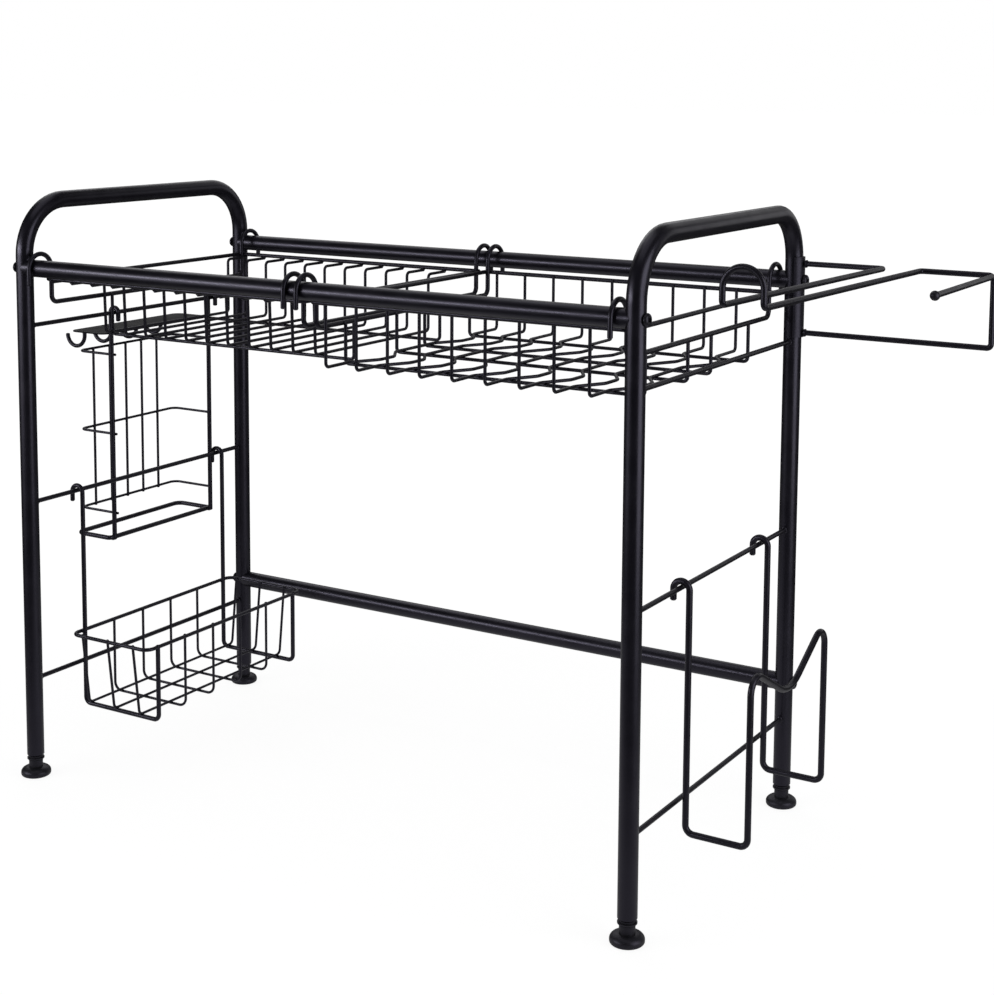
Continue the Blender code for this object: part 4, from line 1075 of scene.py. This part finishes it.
def build_stage():
    """Wide flat floor just under the feet."""
    half = FLOOR_HALF
    mesh = bpy.data.meshes.new("studio_floor")
    mesh.from_pydata(
        [(-half, -half, 0), (half, -half, 0), (half, half, 0), (-half, half, 0)], [], [(0, 1, 2, 3)])
    mesh.materials.append(floor_material())
    floor = bpy.data.objects.new("studio_floor", mesh)
    bpy.context.scene.collection.objects.link(floor)
    floor.location.z = -FLOOR_BELOW
    floor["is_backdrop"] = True


def build_world():
    """White where the camera looks, an even soft light for surfaces, and dim where it is mirrored."""
    world = bpy.data.worlds.new("studio")
    world.use_nodes = True
    bpy.context.scene.world = world
    tree = world.node_tree
    rays = node(tree, "ShaderNodeLightPath")
    shown = node(tree, "ShaderNodeMath", {
        0: rays.outputs["Is Camera Ray"], 1: rays.outputs["Is Transmission Ray"]}, operation="MAXIMUM")
    strength = node(tree, "ShaderNodeMapRange", {
        "Value": shown.outputs[0], "To Min": WORLD_STRENGTH, "To Max": 1.0})
    dimming = node(tree, "ShaderNodeMapRange", {
        "Value": rays.outputs["Is Glossy Ray"], "To Min": 0.0, "To Max": MIRRORED_WORLD - WORLD_STRENGTH})
    total = node(tree, "ShaderNodeMath", {
        0: strength.outputs["Result"], 1: dimming.outputs["Result"]}, operation="ADD")
    background = tree.nodes["Background"]
    background.inputs["Color"].default_value = WHITE
    tree.links.new(total.outputs[0], background.inputs["Strength"])


# Lamps, each with its place, its target, its width and height, and its power in watts

LAMPS = {
    "front_left_strip": ((-0.95, -1.3, 0.62), (0, 0, 0.42), (1.35, 0.20), 9.0),
    "left_screen": ((-1.25, -1.35, 0.5), (-0.2, 0, 0.35), (0.9, 1.2), 2.6),
    "right_screen": ((1.3, -0.15, 0.6), (0.2, 0, 0.4), (0.9, 1.2), 8.5),
    "overhead": ((0, -0.2, 2.4), (0, 0, 0.4), (1.8, 1.8), 6.0),
    "left_high": ((-1.4, 0.85, 2.4), (0, 0, 0.45), (1.4, 2.4), 6.5),
    "rear_high": ((-1.9, 2.4, 1.9), (-0.2, 0, 0.4), (3.2, 1.5), 13.0),
    "rear_middle": ((0.2, 2.4, 1.8), (0, 0, 0.4), (1.6, 0.9), 2.3),
    "rear_low": ((0.75, 2.4, 0.75), (0, 0, 0.4), (1.7, 0.9), 3.0),
}


def area_light(name, place, target, size, power):
    """Rectangular lamp that shines from its place towards the target and isn't seen itself."""
    data = bpy.data.lights.new(name, "AREA")
    data.energy = power
    data.shape = "RECTANGLE"
    data.size, data.size_y = size
    lamp = bpy.data.objects.new(name, data)
    bpy.context.scene.collection.objects.link(lamp)
    lamp.location = place
    lamp.visible_camera = False
    lamp.rotation_mode = "QUATERNION"
    lamp.rotation_quaternion = (Vector(target) - Vector(place)).to_track_quat("-Z", "Y")


# Camera, solved from the frame's corners in the photograph and placed from the rack's middle

PICTURE_WIDTH = 994
PICTURE_HEIGHT = 995
FOCAL_PIXELS = 1786.908
HORIZON_ROW = 272.05
SENSOR_WIDTH = 36.0
CAMERA_PLACE = (0.91182, -1.34, 0.66808)
CAMERA_TURN = (
    (0.8552173, -0.0619394, 0.5145550),
    (0.5182332, 0.0904426, -0.8504437),
    (0.0061383, 0.9939737, 0.1094471))


def build_camera():
    """The photograph's viewpoint, lens and framing."""
    data = bpy.data.cameras.new("camera")
    data.sensor_fit = "HORIZONTAL"
    data.sensor_width = SENSOR_WIDTH
    data.lens = FOCAL_PIXELS / PICTURE_WIDTH * data.sensor_width
    data.shift_y = (HORIZON_ROW - PICTURE_HEIGHT / 2) / PICTURE_WIDTH
    camera = bpy.data.objects.new("camera", data)
    bpy.context.scene.collection.objects.link(camera)
    x, y, z = CAMERA_PLACE
    camera.matrix_world = Matrix.Translation((CENTRE_X + x, y, z)) @ Matrix(CAMERA_TURN).to_4x4()
    bpy.context.scene.camera = camera


# Assembly

def build_frame():
    """Side frames with their rods, then the tubes between them with their bolts and inserts."""
    for hand, post_x in POST_XS.items():
        side_frame(hand, post_x)
        for level in ROD_LEVELS:
            rod = f"{hand}_{level}_rod"
            side_rod(rod, post_x, middle(rod).z)
    for tube, (y, z) in CROSS_TUBES.items():
        cross_tube(tube, y, z)
        for hand, post_x in POST_XS.items():
            over_sleeve = tube == "rear_rail" and hand == "right"
            seat = POST_SEAT + (SLEEVE_WALL + FIT_GAP if over_sleeve else 0)
            bolt(f"{tube}_{hand}_bolt", OUTWARD[hand], (post_x, y, z), seat)
            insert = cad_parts[f"{tube}_{hand}_insert"]
            insert.data.materials.clear()
            insert.data.materials.append(PLATED)


def build_feet():
    """A levelling foot and its plug under each post."""
    for end, y in POST_YS.items():
        for hand, post_x in POST_XS.items():
            foot(f"{end}_{hand}", post_x, y)
            leg_plug(f"{end}_{hand}", post_x, y)


build_frame()
build_feet()
plate_basket()
bowl_basket()
utensil_holder()
hook_plate()
for hook_number in range(1, J_HOOKS + 1):
    j_hook(hook_number)
sponge_basket()
board_rack()
holder_sleeve()
roll_and_glass_holder()
rod_ball()

build_stage()
build_world()
for lamp_name, (lamp_place, lamp_target, lamp_size, lamp_power) in LAMPS.items():
    area_light(lamp_name, lamp_place, lamp_target, lamp_size, lamp_power)
build_camera()
bpy.context.scene.view_settings.view_transform = "Standard"

boxes = {"cad": cad_box, "visual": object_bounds()}
{name: [list(corner) for corner in box] for name, box in boxes.items()}
